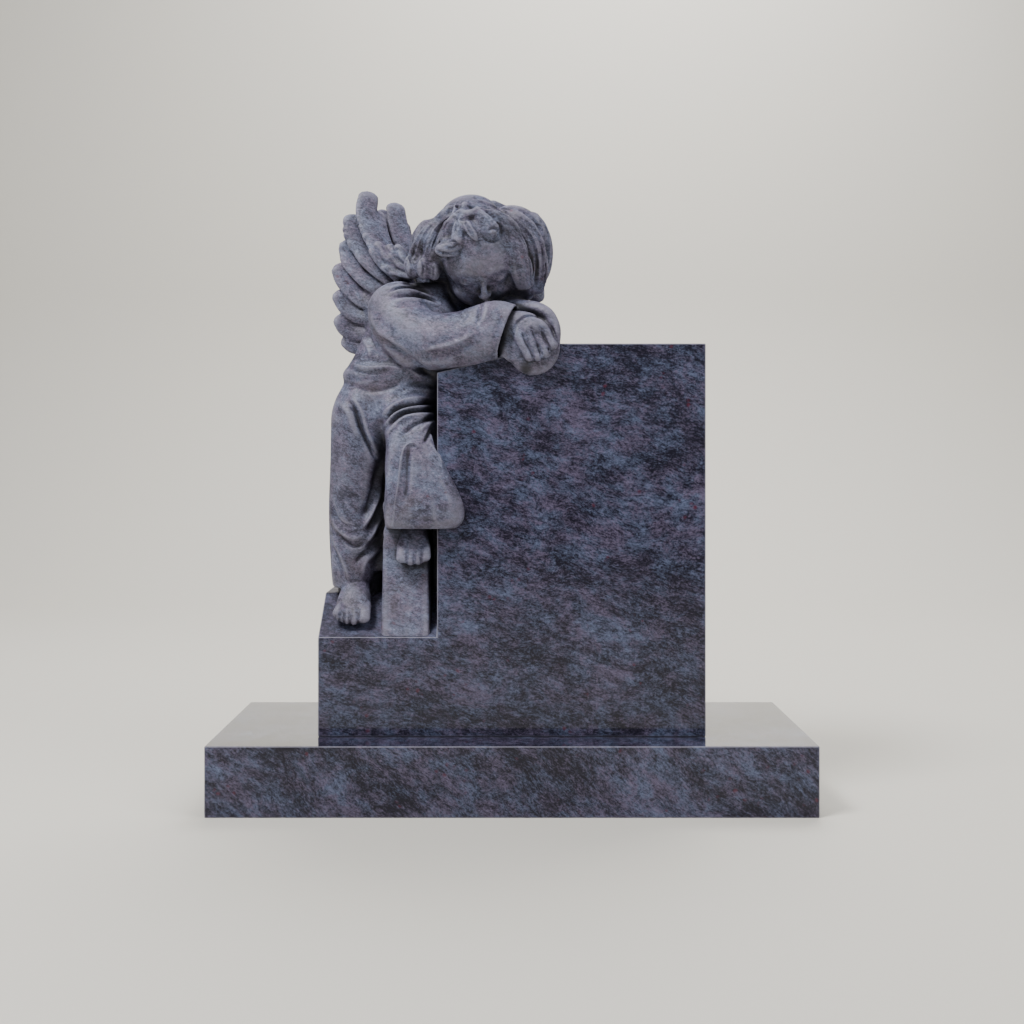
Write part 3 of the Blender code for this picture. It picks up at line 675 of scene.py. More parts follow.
    def sleeve_folds(self) -> list[Stroke]:
        """Lists the creases at the shoulder and the long soft folds of the forearm.

        Returns:
            The strokes, which reach further back than those of the skirt.
        """
        strokes = [
            Stroke([(-54, 517), (-36, 518), (-24, 513)], 2.0, -3.0),
            Stroke([(-68, 505), (-55, 510), (-39, 511), (-26, 508), (-10, 501)], 2.3, -6.0),
            Stroke([(-74, 499), (-55, 504), (-39, 505), (-22, 501), (-6, 496)], 2.3, 2.6),
            Stroke([(-70, 493), (-50, 497), (-31, 498), (-12, 494), (2, 488)], 2.3, -5.5),
            Stroke([(-66, 486), (-44, 490), (-20, 490), (2, 483)], 2.6, 2.6),
            Stroke([(-60, 479), (-38, 482), (-14, 479)], 3.0, -2.0),
            Stroke([(-101, 474), (-92, 455), (-82, 441), (-66, 430), (-49, 420), (-38, 410)], 3.4, 3.0),
            Stroke([(-90, 470), (-78, 452), (-60, 440)], 4.0, -2.0),
            Stroke([(-24, 412), (-2, 417), (19, 421), (38, 428), (56, 438)], 3.0, 3.2),
            Stroke([(-14, 405), (8, 409), (30, 414), (54, 427)], 4.4, -3.2),
            Stroke([(63, 482), (61, 466), (58, 450)], 2.6, -3.6),
            Stroke([(72, 484), (71, 468), (66, 452)], 3.6, 2.0),
            Stroke([(-30, 398), (0, 397), (30, 399)], 4.0, 2.0),
            Stroke([(44, 470), (34, 456), (16, 450)], 4.0, -2.2),
            Stroke([(86, 478), (92, 456), (84, 430)], 5.0, -1.8),
        ]
        return [Stroke(s.course, s.width, s.height, s.side, 90.0) for s in strokes]

    def hidden_folds(self) -> list[Stroke]:
        """Lists the plainer folds on the back and on the left, which the photograph doesn't show.

        Returns:
            The strokes.
        """
        strokes = []
        for k, x in enumerate((-136, -108, -80, -52, -26)):
            course = [(0.7 * x - 12, 400), (x, 300), (x + 4 * math.sin(k), 200), (x - 3, 112)]
            strokes.append(Stroke(course, 5.0, -4.5, Side.BACK, -70.0))
            ridge = [(u + 11, v) for u, v in course]
            strokes.append(Stroke(ridge, 5.0, 3.0, Side.BACK, -70.0))
        for k, y in enumerate((62, 88, 114)):
            course = [(y + 6, 330 - 20 * k), (y, 240), (y + 5, 150), (y + 3, 84)]
            strokes.append(Stroke(course, 4.0, -3.5, Side.LEFT, -100.0))
        return strokes

    def strokes(self) -> list[Stroke]:
        """Every fold of the cloth."""
        front = [*self.leg_folds(), *self.bell_folds(), *self.waist_folds()]
        return [*front, *self.sleeve_folds(), *self.hidden_folds()]


@dataclass
class Hands:
    """The near hand over the slab's edge, the boss below it, and the far sleeve and forearm behind."""

    fingers: Sequence[Sequence[Row]] = (
        ((116, 441), (121, 429), (127, 417), (134, 405)),
        ((129, 446), (134, 431), (140, 417), (145, 405)),
        ((142, 447), (147, 433), (152, 420), (157, 410)),
        ((154, 443), (160, 432), (166, 421)),
    )
    finger: float = 8.6
    gaps: Sequence[Sequence[Row]] = (
        ((121, 443), (128, 426), (136, 411), (140, 398)),
        ((134, 448), (141, 431), (147, 416), (151, 401)),
        ((148, 448), (154, 432), (160, 420), (163, 408)),
    )
    far_arm: Sequence[Row] = (
        (60, 90, 490, 32, 28),
        (98, 62, 482, 22, 22),
        (123, 36, 479, 14, 16),
        (143, 20, 477, 11, 14),
        (158, 10, 469, 10, 13),
        (167, 4, 456, 9, 12),
        (171, 0, 442, 8, 11),
        (170, 0, 428, 8, 10),
    )
    forearm: Sequence[Row] = (
        (56, 92, 474, 28, 26),
        (84, 74, 447, 27, 26),
        (114, 50, 440, 28, 26),
        (134, 32, 445, 29, 26),
        (150, 18, 445, 25, 22),
    )

    def skins(self) -> list[Skin]:
        """Builds the boss, the back of the hand, four fingers, the far sleeve and the far forearm.

        Returns:
            The overlapping skins.
        """
        fingers = []
        for course in self.fingers:
            last = len(course) - 1
            rows = [(x, -8 - 7 * k / last, z, self.finger, 7.5) for k, (x, z) in enumerate(course)]
            fingers.append(swept(rows, ends=(1.2, 1.0)))
        return [
            ball((139, 3, 421), (39.5, 17, 43)),
            ball((139, -2, 441), (29.5, 15.5, 22)),
            ball((142, -5, 424), (26, 13.5, 26)),
            ball((107, 7, 424), (20, 14, 30)),
            ball((100, 27, 424), (28, 12, 34)),
            swept([(104, 6, 450, 24, 16), (122, 2, 449, 23, 15), (136, -2, 446, 22, 12)]),
            *fingers,
            swept(self.far_arm, sides=48, steps=60),
            swept(self.forearm, sides=48, steps=60),
        ]

    def strokes(self) -> list[Stroke]:
        """Lists the gaps between the fingers and the crease above the hand.

        Returns:
            The strokes.
        """
        strokes = [Stroke(course, 1.4, -4.0, reach=10.0) for course in self.gaps]
        rim = [(110, 437), (115, 453), (127, 463), (140, 465), (152, 461), (163, 450), (169, 437), (172, 424)]
        strokes.append(Stroke(rim, 1.8, -4.0))
        return strokes


@dataclass
class Head:
    """A sleeping child's head of plain proportions, modelled upright and then bowed on to the arm."""

    centre: Row = (60.0, 50.0, 556.0)
    roll: float = -8.0
    pitch: float = 41.0
    skull: tuple[Row, Row] = ((0, 2, 6), (57, 62, 74))

    def turn(self) -> np.ndarray:
        """Works out how the head is turned.

        Returns:
            The matrix that bows the upright head and then leans it in the picture plane.
        """
        roll, pitch = math.radians(self.roll), math.radians(self.pitch)
        cr, sr, cp, sp = math.cos(roll), math.sin(roll), math.cos(pitch), math.sin(pitch)
        bow = np.array([[1, 0, 0], [0, cp, -sp], [0, sp, cp]])
        lean = np.array([[cr, 0, sr], [0, 1, 0], [-sr, 0, cr]])
        return lean @ bow

    def face(self) -> Skin:
        """Builds skull, cheeks, closed eyes, nose and lips, carved upright and then bowed.

        Returns:
            The head without its hair, as one fused skin.
        """
        forms = [
            ball(*self.skull),
            ball((0, -8, 10), (57, 54, 54)),
            ball((0, -14, -26), (50, 43, 43)),
            ball((0, -42, -58), (17, 15, 13)),
            swept([(0, -58, 2, 4.5, 5), (0, -63, -13, 4.8, 6), (0, -67, -24, 6, 6.5)]),
            ball((0, -68, -25), (6.5, 6.5, 5.5)),
            swept([(-11, -53, -41, 1.5, 2), (0, -59.5, -39.5, 3.6, 4), (11, -53, -41, 1.5, 2)], UP),
            swept([(-9, -53, -45, 1.5, 2), (0, -58.5, -46.5, 3.8, 4), (9, -53, -45, 1.5, 2)], UP),
        ]
        for side in (-1, 1):
            forms += [
                ball((23 * side, -33, -27), (22, 18, 20)),
                ball((22 * side, -48.5, -6), (12, 9, 7.5)),
                ball((5.8 * side, -61.5, -26), (4.4, 6, 4)),
            ]
        strokes = [
            Stroke([(-11, -43.2), (0, -42.6), (11, -43.2)], 1.8, -2.5),
            Stroke([(0, -32), (0, -37)], 2.0, -1.0),
        ]
        for side in (-1, 1):
            strokes += [
                Stroke([(11 * side, -7), (22 * side, -11), (34 * side, -7)], 1.6, -2.6),
                Stroke([(11 * side, 0), (22 * side, 3.5), (35 * side, 0)], 2.2, -1.4),
                Stroke([(8 * side, 10), (22 * side, 16), (39 * side, 10)], 4.5, 1.4),
                Stroke([(3.2 * side, -29), (5.4 * side, -29.5)], 1.6, -2.2),
            ]
        skin = Skin.fused(forms, FACE_GRAIN).relaxed(4).carved(strokes)
        return skin.placed(self.turn(), np.array(self.centre))

    def masses(self) -> list[Egg]:
        """Lists the large round masses that the hair lies on.

        Returns:
            The brow first, and then the crown, both sides, the back and the nape.
        """
        middle = np.array(self.centre)
        sizes = [
            ((-12, 8, 41.5), (54, 58, 53.5)),
            ((48, 26, 10), (59, 62, 73)),
            ((-52, 20, 16), (50, 56, 50)),
            ((6, 42, -2), (88, 46, 76)),
            ((16, 46, -28), (72, 44, 48)),
        ]
        place, radii = self.skull
        brow = Egg(middle + self.turn() @ np.array(place), radii, self.turn())
        return [brow, *[Egg(middle + np.array(place), radii) for place, radii in sizes]]

    def lock(
        self,
        course: Sequence[Row],
        width: float,
        lift: float = 0.0,
        taper: tuple[float, float] = (0.5, 0.5),
    ) -> Skin:
        """Builds one flat lock of hair that lies on the masses.

        Its half depth is the lesser of 0.7 times its half width and 2.5 + 0.22 times that.

        Args:
            course: Places as (x, z) from the head's middle, as seen from the front.
            width: Half its width.
            lift: How far its middle stands forward of the masses.
            taper: Its width at its root and at its tip, as shares.

        Returns:
            The lock.
        """
        line = smooth_line(course, 14) + np.array([self.centre[0], self.centre[2]])
        depth = np.min([egg.front(line[:, 0], line[:, 1]) for egg in self.masses()], axis=0) - lift
        shares = np.interp(np.linspace(0, 1, len(line)), [0, 0.3, 0.8, 1], [taper[0], 1.0, 1.0, taper[1]])
        across = shares[:, None] * width
        deep = np.minimum(0.7 * across, 2.5 + 0.22 * across)
        return swept(np.hstack([line[:, :1], depth[:, None], line[:, 1:], across, deep]), sides=36, steps=56)

    def side_locks(self) -> list[Skin]:
        """Builds the wide locks that fall to both sides and end in soft curls.

        Returns:
            The overlapping skins.
        """
        middle = np.array(self.centre)
        return [
            self.lock([(14, 52), (37, 38), (51, 12), (60, -16), (68, -44)], 19.0, 5.5, (0.7, 0.75)),
            self.lock([(34, 64), (62, 46), (79, 16), (86, -16), (84, -48)], 18.0, -3, (0.7, 0.7)),
            self.lock([(62, -20), (70, -42), (72, -58)], 14.0, -6),
            self.lock([(-40, 66), (-56, 47), (-73, 27), (-88, 4), (-95, -16)], 17.0, -2, (0.6, 0.7)),
            self.lock([(-34, 62), (-52, 40), (-63, 20), (-72, 0), (-79, -20)], 11.0, 1, (0.5, 0.9)),
            self.lock([(-50, 34), (-60, 14), (-65, -6), (-65, -26)], 9.0, -5, (0.5, 0.9)),
            ball(middle + (-99, -10, -15), (12, 13, 19), -10),
            ball(middle + (-82, -20, -17), (12, 13, 19)),
            ball(middle + (-66, -20, -21), (10.5, 12, 16)),
        ]

    def forelock(self) -> list[Skin]:
        """Builds the gathered lock above the brow.

        It has a knot and band on top, a spiral at the left and a curl at the right.

        Returns:
            The overlapping skins.
        """
        middle = np.array(self.centre)
        return [
            ball(middle + (-8, -26, 62), (14, 14, 13)),
            ball(middle + (-16, -38, 50), (18, 14, 10)),
            self.lock([(-39, 54), (-37, 64), (-33, 73)], 5.5, 3),
            self.lock([(-23, 54), (-22, 64), (-20, 75)], 6.5, 4),
            ball(middle + (-2, -38, 54), (14, 12, 9)),
            ball(middle + (-11, -55, 50), (10, 10, 8)),
            self.lock([(-38, 50), (-27, 56), (-13, 54), (0, 60)], 6.5, 7, (0.7, 0.7)),
            self.lock([(-30, 52), (-40, 38), (-46, 26), (-45, 16)], 13.0, 4, (0.6, 0.8)),
            self.lock([(-22, 50), (-27, 36), (-30, 24), (-27, 14)], 10.0, 4, (0.6, 0.7)),
            ball(middle + (-42, -57, 5), (22, 11, 13), -10),
            self.lock([(-19, 44), (-12, 29), (-1, 13)], 7.0, 4, (0.8, 0.4)),
            self.lock([(-6, 58), (7, 50), (16, 40), (20, 27)], 14.0, 3, (0.7, 0.7)),
            ball(middle + (17, -56, 25), (15, 10, 12)),
        ]

    def back_locks(self) -> list[Skin]:
        """Builds plain locks down the back of the head.

        Returns:
            The overlapping skins.
        """
        middle = np.array(self.centre)
        locks = []
        for k in range(9):
            x = -80 + 21 * k
            fall = math.sqrt(max(1 - (x / 100) ** 2, 0.05))
            tip = (x + 5 * math.sin(2.3 * k), 32 + 50 * fall, -44 - 9 * math.sin(1.7 * k + 1))
            root, high, low = (0.25 * x - 4, 36, 82), (0.8 * x, 44 + 32 * fall, 58), (x, 36 + 58 * fall, 8)
            stations = [(*(middle + point), 13, 8) for point in np.array([root, high, low, tip])]
            locks.append(swept(stations, -FRONT, sides=48, strands=Strands(6, 0.1, 0.4)))
        return locks

    def shell_locks(self) -> list[Skin]:
        """Builds plain locks down both sides of the head, on the meridians of the two side masses.

        A lock's places are centre + radii * (cos fall cos turn, cos fall sin turn, sin fall), where turn
        sways a little about the lock's own azimuth and the radii are a little less than the mass's own.

        Returns:
            The overlapping skins.
        """
        right, left = self.masses()[2:4]
        fans = [(right, (-38, -18, 2, 22, 42, 62), -50), (left, (148, 168, 188, 208), -38)]
        locks = []
        for mass, azimuths, low in fans:
            radii = np.array(mass.radii) - 2
            fall = np.radians(np.linspace(50, low, 7))
            for k, azimuth in enumerate(azimuths):
                turn = np.radians(azimuth + 7 * np.sin(2.2 * fall + 1.3 * k))
                level = np.cos(fall)
                out = np.column_stack([level * np.cos(turn), level * np.sin(turn), np.sin(fall)])
                facing = (math.cos(math.radians(azimuth)), math.sin(math.radians(azimuth)), 0.0)
                stations = [(*point, 12, 6) for point in mass.centre + out * radii]
                locks.append(swept(stations, facing, sides=48, strands=Strands(5, 0.08, 0.4)))
        return locks

    def skins(self) -> list[Skin]:
        """Builds the whole head with its neck.

        Returns:
            The face, the neck and the hair.
        """
        neck = swept([(0, 94, 486, 36, 30), (44, 84, 540, 38, 36)])
        masses = [egg.skin() for egg in self.masses()[1:]]
        plain = [*self.back_locks(), *self.shell_locks()]
        hair = Skin.fused([*masses, *self.side_locks(), *self.forelock(), *plain], HAIR_GRAIN)
        return [self.face(), neck, hair.relaxed(6)]

    def strokes(self) -> list[Stroke]:
        """Lists the deep partings of the hair and the fine combed lines between them.

        Both tables give places as (x, z) from the head's middle. A parting is a course, a width and a
        height. A row of combed lines is its first course, its last one, a count, a width and a height.

        Returns:
            The strokes.
        """
        deep = [
            ([(-37, 72), (-42, 62), (-54, 42), (-63, 21), (-68, 4)], 2.8, -6.0),
            ([(-19, 42), (-14, 32), (-6, 18)], 1.8, -3.0),
            ([(-34, 50), (-30, 38), (-36, 22)], 1.8, -2.4),
            ([(2, 64), (14, 57), (27, 45), (34, 30), (31, 18)], 2.2, -5.0),
            ([(-104, 2), (-98, -14), (-101, -32)], 1.5, -2.2),
            ([(-84, -6), (-80, -20), (-84, -34)], 1.5, -2.2),
            ([(-70, -8), (-66, -22), (-68, -36)], 1.4, -1.8),
            ([(-30, 47), (-18, 46), (-6, 48)], 2.4, -3.5),
            ([(-31, 66), (-29, 72)], 3.6, -4.5),
            ([(-10, 64), (-9, 70)], 4.2, -5.0),
            ([(-62, 4), (-54, -2), (-40, -4), (-28, -1), (-22, 6)], 1.6, -2.8),
            ([(-58, 9), (-48, 14), (-36, 13), (-31, 8), (-38, 4), (-49, 6)], 1.5, -2.8),
            ([(4, 26), (9, 17), (18, 14), (28, 19), (29, 29), (19, 32), (15, 25)], 1.9, -4.5),
            ([(-46, 42), (-50, 30), (-48, 20)], 1.6, -2.2),
        ]
        combs = [
            (
                [(34, 48), (62, 26), (74, -2), (78, -28), (78, -52)],
                [(60, 66), (91, 42), (103, 8), (101, -26), (92, -50)],
                *(4, 2.6, -4.2),
            ),
            (
                [(28, 40), (46, 20), (56, -6), (63, -40)],
                [(32, 46), (56, 24), (68, -6), (72, -44)],
                *(2, 3.0, -2.4),
            ),
            (
                [(32, 40), (52, 18), (62, -8), (68, -44)],
                [(60, 70), (94, 44), (105, 8), (100, -36)],
                *(15, 1.4, -1.1),
            ),
            ([(2, 62), (20, 56), (40, 40)], [(-10, 86), (18, 82), (52, 66)], 4, 2.6, -2.2),
            ([(0, 58), (18, 50), (36, 36)], [(-16, 88), (14, 85), (50, 70)], 9, 1.3, -0.9),
            (
                [(-46, 60), (-62, 38), (-72, 16), (-78, -6)],
                [(-50, 68), (-78, 44), (-95, 14), (-102, -10)],
                *(3, 3.0, -3.2),
            ),
            (
                [(-44, 56), (-58, 32), (-68, 10), (-74, -12)],
                [(-40, 84), (-77, 52), (-99, 14), (-106, -16)],
                *(11, 1.3, -1.0),
            ),
            ([(-30, 46), (-36, 32), (-38, 22)], [(-42, 46), (-52, 32), (-54, 20)], 4, 1.2, -1.2),
            ([(-2, 52), (8, 42), (14, 32)], [(8, 58), (22, 46), (28, 34)], 4, 1.2, -1.2),
        ]
        x, y, z = self.centre
        from_front = np.array([x, z])
        strokes = []
        for course, width, height in deep:
            strokes.append(Stroke(np.array(course) + from_front, width, height, reach=120.0))
        for first, last, count, width, height in combs:
            strokes += combed(np.array(first) + from_front, np.array(last) + from_front, count, width, height)
        left = np.array([(-20, 84), (-72, 56), (-88, 6), (-84, -46)]) + from_front
        right = np.array([(24, 84), (76, 56), (96, 6), (92, -46)]) + from_front
        strokes += combed(left, right, 26, 1.6, -1.8, Side.BACK)
        from_side = np.array([y, z])
        beside = np.array([(16, 74), (-14, 40), (-26, 0), (-20, -44)]) + from_side
        behind = np.array([(44, 74), (78, 54), (90, 8), (80, -44)]) + from_side
        strokes += combed(beside, behind, 17, 1.6, -1.6, Side.RIGHT, -x - 30)
        strokes += combed(beside, behind, 15, 1.6, -1.4, Side.LEFT, x - 30)
        return strokes


@dataclass
class Wings:
    """Two wings of round-tipped feathers: the near one spread, the far one swept back."""

    near: Sequence[Sequence[Row]] = (
        ((-97, 134, 632), (-92, 124, 606), (-82, 116, 582), (-60, 106, 548)),
        ((-114, 132, 662), (-116, 126, 638), (-108, 116, 606), (-94, 108, 580), (-60, 100, 540)),
        ((-136, 126, 626), (-134, 120, 604), (-122, 114, 580), (-104, 108, 556), (-64, 102, 520)),
        ((-142, 122, 586), (-139, 118, 566), (-125, 113, 546), (-105, 108, 526), (-70, 102, 502)),
        ((-154, 117, 549), (-145, 114, 531), (-130, 112, 513), (-111, 108, 499), (-74, 102, 486)),
        ((-153, 113, 508), (-142, 111, 492), (-127, 109, 480), (-109, 106, 476), (-74, 102, 468)),
        ((-151, 108, 470), (-142, 107, 458), (-127, 106, 451), (-92, 102, 446)),
        ((-142, 104, 436), (-133, 104, 430), (-121, 104, 428), (-90, 102, 430)),
    )
    near_widths: Sequence[float] = (11, 18, 18.5, 18.5, 18.5, 18, 17, 13)
    near_facing: Row = (0.3, -1.0, 0.3)
    coverts: Sequence[Sequence[Row]] = (
        ((-102, 98, 572), (-88, 94, 553), (-64, 90, 528)),
        ((-93, 96, 580), (-80, 92, 563), (-58, 88, 540)),
        ((-74, 94, 576), (-64, 90, 565), (-48, 86, 552)),
        ((-83, 90, 547), (-69, 86, 540), (-46, 82, 531)),
        ((-75, 90, 561), (-62, 86, 552), (-44, 82, 541)),
        ((-62, 88, 574), (-54, 84, 562), (-42, 80, 548)),
    )
    far_root: Row = (-22, 118, 520)
    far_tucked: Sequence[Sequence[Row]] = (
        ((-95, 168, 642), (-86, 160, 616), (-70, 146, 584), (-30, 122, 530)),
        ((-84, 166, 634), (-76, 156, 606), (-60, 142, 576), (-28, 120, 528)),
    )
    far_count: int = 8

    def feather(self, course: Sequence[Row], width: float, facing: Row, thick: float = 4.6) -> Skin:
        """Builds one blade, widest near its round tip.

        Args:
            course: Its places as x, y and z, from the tip to the root.
            width: Half its width.
            facing: The side that its flat face is turned to.
            thick: Half its thickness.

        Returns:
            The closed skin.
        """
        shares = np.interp(np.linspace(0, 1, len(course)), [0, 0.3, 0.8, 1], [0.92, 1.0, 0.85, 0.6])
        stations = [(*p, width * k, thick) for p, k in zip(course, shares)]
        return swept(stations, facing, sides=36, steps=48, ends=(2.4, 1.0))

    def skins(self) -> list[Skin]:
        """Builds every feather, the wings' roots and the backing between them.

        The far wing's feathers fan out from one root. Their tips lie on an arc of sin(1.9 * share).

        Returns:
            The overlapping skins.
        """
        skins = [self.feather(c, w, self.near_facing) for c, w in zip(self.near, self.near_widths)]
        skins += [self.feather(c, 8.5, (0.3, -1.0, 0.5), 5.0) for c in self.coverts]
        skins += [self.feather(c, 14, (0.45, -0.85, 0.1)) for c in self.far_tucked]
        skins += [
            swept([(-88, 116, 560, 14, 7), (-92, 112, 520, 26, 8), (-84, 104, 468, 34, 12)], ends=(1.5, 1.5)),
            swept([(-36, 106, 500, 18, 16), (-58, 110, 530, 14, 13), (-66, 112, 556, 9, 9)]),
            ball((-106, 110, 462), (24, 7, 24)),
        ]
        for k in range(self.far_count):
            share = k / (self.far_count - 1)
            arc = math.sin(1.9 * share)
            course = [
                (-74 + 52 * share, 158 + 56 * arc, 650 - 174 * share),
                (-69 + 47 * share, 150 + 50 * arc, 622 - 148 * share),
                (-58 + 36 * share, 142 + 38 * arc, 590 - 118 * share),
                self.far_root,
            ]
            skins.append(self.feather(course, 18, (0.45, -0.85, 0.1)))
        return skins


@dataclass(frozen=True)
class Foot:
    """A child's bare foot that points down a slope, with its toes as root x, tip x, tip z and half width."""

    stations: Sequence[Row]
    toes: Sequence[Row]
    root: tuple[float, float]
    tip_y: float

    def skins(self) -> list[Skin]:
        """Builds the foot from its ankle, and its round toes.

        Returns:
            The overlapping skins.
        """
        skins = [swept(self.stations, sides=40, ends=(1.0, 0.6))]
        y, z = self.root
        for root_x, tip_x, tip_z, half in self.toes:
            end = (tip_x, self.tip_y, tip_z + half, half, 7)
            knuckle_y, knuckle_z = 0.45 * y + 0.55 * end[1] - 2, 0.45 * z + 0.55 * end[2]
            middle = (0.5 * (root_x + tip_x), knuckle_y, knuckle_z, half, 8)
            skins.append(swept([(root_x, y, z, half, 8), middle, end]))
        return skins

    def strokes(self) -> list[Stroke]:
        """Lists the gaps between neighbouring toes, the first of which starts higher.

        Returns:
            The strokes.
        """
        strokes = []
        for a, b in zip(self.toes[:-1], self.toes[1:]):
            top = self.root[1] - 2 if a is self.toes[0] else self.root[1] - 8
            course = [(0.5 * (a[0] + b[0]), top), (0.5 * (a[1] + b[1]), min(a[2], b[2]) - 2)]
            strokes.append(Stroke(course, 1.4, -2.8, reach=34.0))
        return strokes


@dataclass
class Angel:
    """The carved child angel, as one skin."""

    gown: Gown = field(default_factory=Gown)
    hands: Hands = field(default_factory=Hands)
    head: Head = field(default_factory=Head)
    wings: Wings = field(default_factory=Wings)
    standing_foot: Foot = Foot(
        ((-121, 76, 98, 15, 16), (-121.5, 63, 76, 17, 16), (-123.5, 40, 54, 24, 15), (-125, 19, 28, 27, 11)),
        (
            (-108, -108, 16, 10.5),
            (-121, -122, 15, 9),
            (-130, -132, 17, 8.2),
            (-137, -140, 21, 7.6),
            (-142, -146, 28, 6.6),
        ),
        (28, 44),
        11.0,
    )
    raised_foot: Foot = Foot(
        ((-34, 42, 176, 18, 17), (-34, 28, 150, 20, 17), (-34.5, 16, 130, 25, 14), (-35, 8, 114, 25, 10)),
        ((-48, -50, 105, 9.6), (-38, -38.5, 102, 9), (-28, -27, 103.5, 8.6), (-18, -17, 109, 8)),
        (14, 132),
        3.0,
    )

    def supports(self) -> list[Skin]:
        """Builds what carries the figure.

        Returns:
            The post behind the raised foot, the stone under the hem, and the web from post to slab.
        """
        post = [(-46, 64, -10, 36, 61), (-46, 64, 20, 36, 60), (-47, 78, 154, 34, 52), (-47, 80, 240, 33, 50)]
        under_hem = [(-121, 110, -10, 34, 42), (-121, 108, 90, 36, 44)]
        web = [(-14, 116, -10, 22, 34), (-14, 116, 120, 22, 34), (-14, 116, 280, 22, 34)]
        return [drape(post, square=14), drape(under_hem), drape(web, square=10)]

    def stone(self) -> bpy.types.Object:
        """Moves the headstone's faces out by the joint, to cut the angel to.

        Returns:
            The cutter, which is removed once it is used.
        """
        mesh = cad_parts["headstone"].data.copy()
        cutter = bpy.data.objects.new("stone_cutter", mesh)
        bpy.context.scene.collection.objects.link(cutter)
        work = bmesh.new()
        work.from_mesh(mesh)
        bmesh.ops.remove_doubles(work, verts=work.verts, dist=1e-5)
        work.to_mesh(mesh)
        work.free()
        points, normals = mesh_arrays(mesh)
        mesh.vertices.foreach_set("co", (points + normals * JOINT * 1.5).ravel())
        return cutter

    def build(self) -> bpy.types.Object:
        """Carves the angel and fits it to the stone.

        Returns:
            The finished piece, with its hollows and shelter measured for the material's painted shade and
            wear.
        """
        skins = [
            *self.gown.skins(),
            *self.hands.skins(),
            *self.head.skins(),
            *self.wings.skins(),
            *self.standing_foot.skins(),
            *self.raised_foot.skins(),
            *self.supports(),
        ]
        strokes = [
            *self.gown.strokes(),
            *self.hands.strokes(),
            *self.head.strokes(),
            *self.standing_foot.strokes(),
            *self.raised_foot.strokes(),
        ]
        skin = Skin.fused(skins, SKIN_GRAIN).relaxed(3).carved(strokes).relaxed(1)
        angel = skin.moved_to(CORNER + skin.points * UNIT).to_object("carved_angel")
        log.info("carved_angel: %d faces before thinning", len(skin.quads))
        thin = angel.modifiers.new("Thin", "DECIMATE")
        thin.ratio = min(1.0, ANGEL_TRIANGLES / (2 * len(skin.quads)))
        cutter = self.stone()
        cut = angel.modifiers.new("Fit to stone", "BOOLEAN")
        cut.operation = "DIFFERENCE"
        cut.solver = "EXACT"
        cut.object = cutter
        applied(angel)
        bpy.data.objects.remove(cutter)
        angel.data.shade_smooth()
        angel.data.set_sharp_from_angle(angle=math.radians(50))
        self.measure_hollows(angel.data)
        self.measure_shelter(angel.data)
        return angel

    def measure_hollows(self, mesh: bpy.types.Mesh, rounds: int = 24, deepest: float = 3.0) -> None:
        """Stores how deep each point lies below its surroundings, in millimetres.

        The points are averaged with their neighbours over and over. The hollow is the distance from a
        point to its averaged place along its normal, so a groove is above 0 and a ridge is below. The
        honed finish paints shade in the grooves by it and wears the ridges pale.

        Args:
            mesh: The mesh to measure.
            rounds: How many times the points are averaged.
            deepest: The most that a hollow or a ridge counts for, in millimetres.
        """
        points, normals = mesh_arrays(mesh)
        edges = np.empty(len(mesh.edges) * 2, int)
        mesh.edges.foreach_get("vertices", edges)
        a, b = edges.reshape(-1, 2).T
        count = len(points)
        degree = np.maximum(np.bincount(np.concatenate([a, b]), minlength=count), 1)[:, None]
        blurred = points.copy()
        for _ in range(rounds):
            sums = []
            for column in blurred.T:
                sums.append(np.bincount(a, column[b], count) + np.bincount(b, column[a], count))
            blurred = 0.4 * blurred + 0.6 * np.column_stack(sums) / degree
        hollow = ((blurred - points) * normals).sum(1) / UNIT
        store(mesh, "hollow", np.clip(hollow, -deepest, deepest))

    def measure_shelter(
        self,
        mesh: bpy.types.Mesh,
        cell: float = 4.0,
        blur: float = 9.0,
        patch: float = 6.0,
    ) -> None:
        """Stores how far other surfaces close in on each point.

        The areas of all faces, and of the stone beside them, are summed in cubes and blurred. The amount
        at blur out from a point, over what a flat wall gives there, is 1 on flat ground and more in a
        recess. On the wings it is cut by nearly half, because both faces of a thin feather are summed,
        and on the hair by less, because its locks are as thin. The honed finish paints shade where it
        is high.

        Args:
            mesh: The mesh to measure.
            cell: Side of a cube, in millimetres.
            blur: Reach of the blur, in millimetres.
            patch: Side of the squares that stand for the stone, in millimetres.
        """
        points, normals = mesh_arrays(mesh)
        points = (points - CORNER) / UNIT
        centres = np.empty(len(mesh.polygons) * 3)
        areas = np.empty(len(mesh.polygons))
        mesh.polygons.foreach_get("center", centres)
        mesh.polygons.foreach_get("area", areas)
        deep, high = np.arange(patch / 2, STONE_DEPTH, patch), np.arange(patch / 2, SLAB_RISE, patch)
        side_y, side_z = (v.ravel() for v in np.meshgrid(deep, high))
        floor_x, floor_y = (v.ravel() for v in np.meshgrid(np.arange(-STEP_WIDTH, 0, patch), deep))
        wall = np.column_stack([np.zeros_like(side_y), side_y, side_z])
        floor = np.column_stack([floor_x, floor_y, np.minimum(floor_y * FOOTING_SLOPE, FOOTING_RISE)])
        where = np.vstack([(centres.reshape(-1, 3) - CORNER) / UNIT, wall, floor])
        weight = np.concatenate([areas / UNIT**2, np.full(len(wall) + len(floor), patch**2)])
        low = where.min(0) - 4 * blur
        shape = tuple(np.ceil((where.max(0) + 4 * blur - low) / cell).astype(int))
        flat = np.ravel_multi_index(tuple(((where - low) / cell).astype(int).T), shape)
        filled = np.bincount(flat, weight, int(np.prod(shape))).reshape(shape) / cell**3
        reach = int(3 * blur / cell)
        steps = np.arange(-reach, reach + 1)
        kernel = np.exp(-0.5 * (steps * cell / blur) ** 2)
        kernel /= kernel.sum()
        for axis in range(3):
            filled = sum(share * np.roll(filled, step, axis) for share, step in zip(kernel, steps))
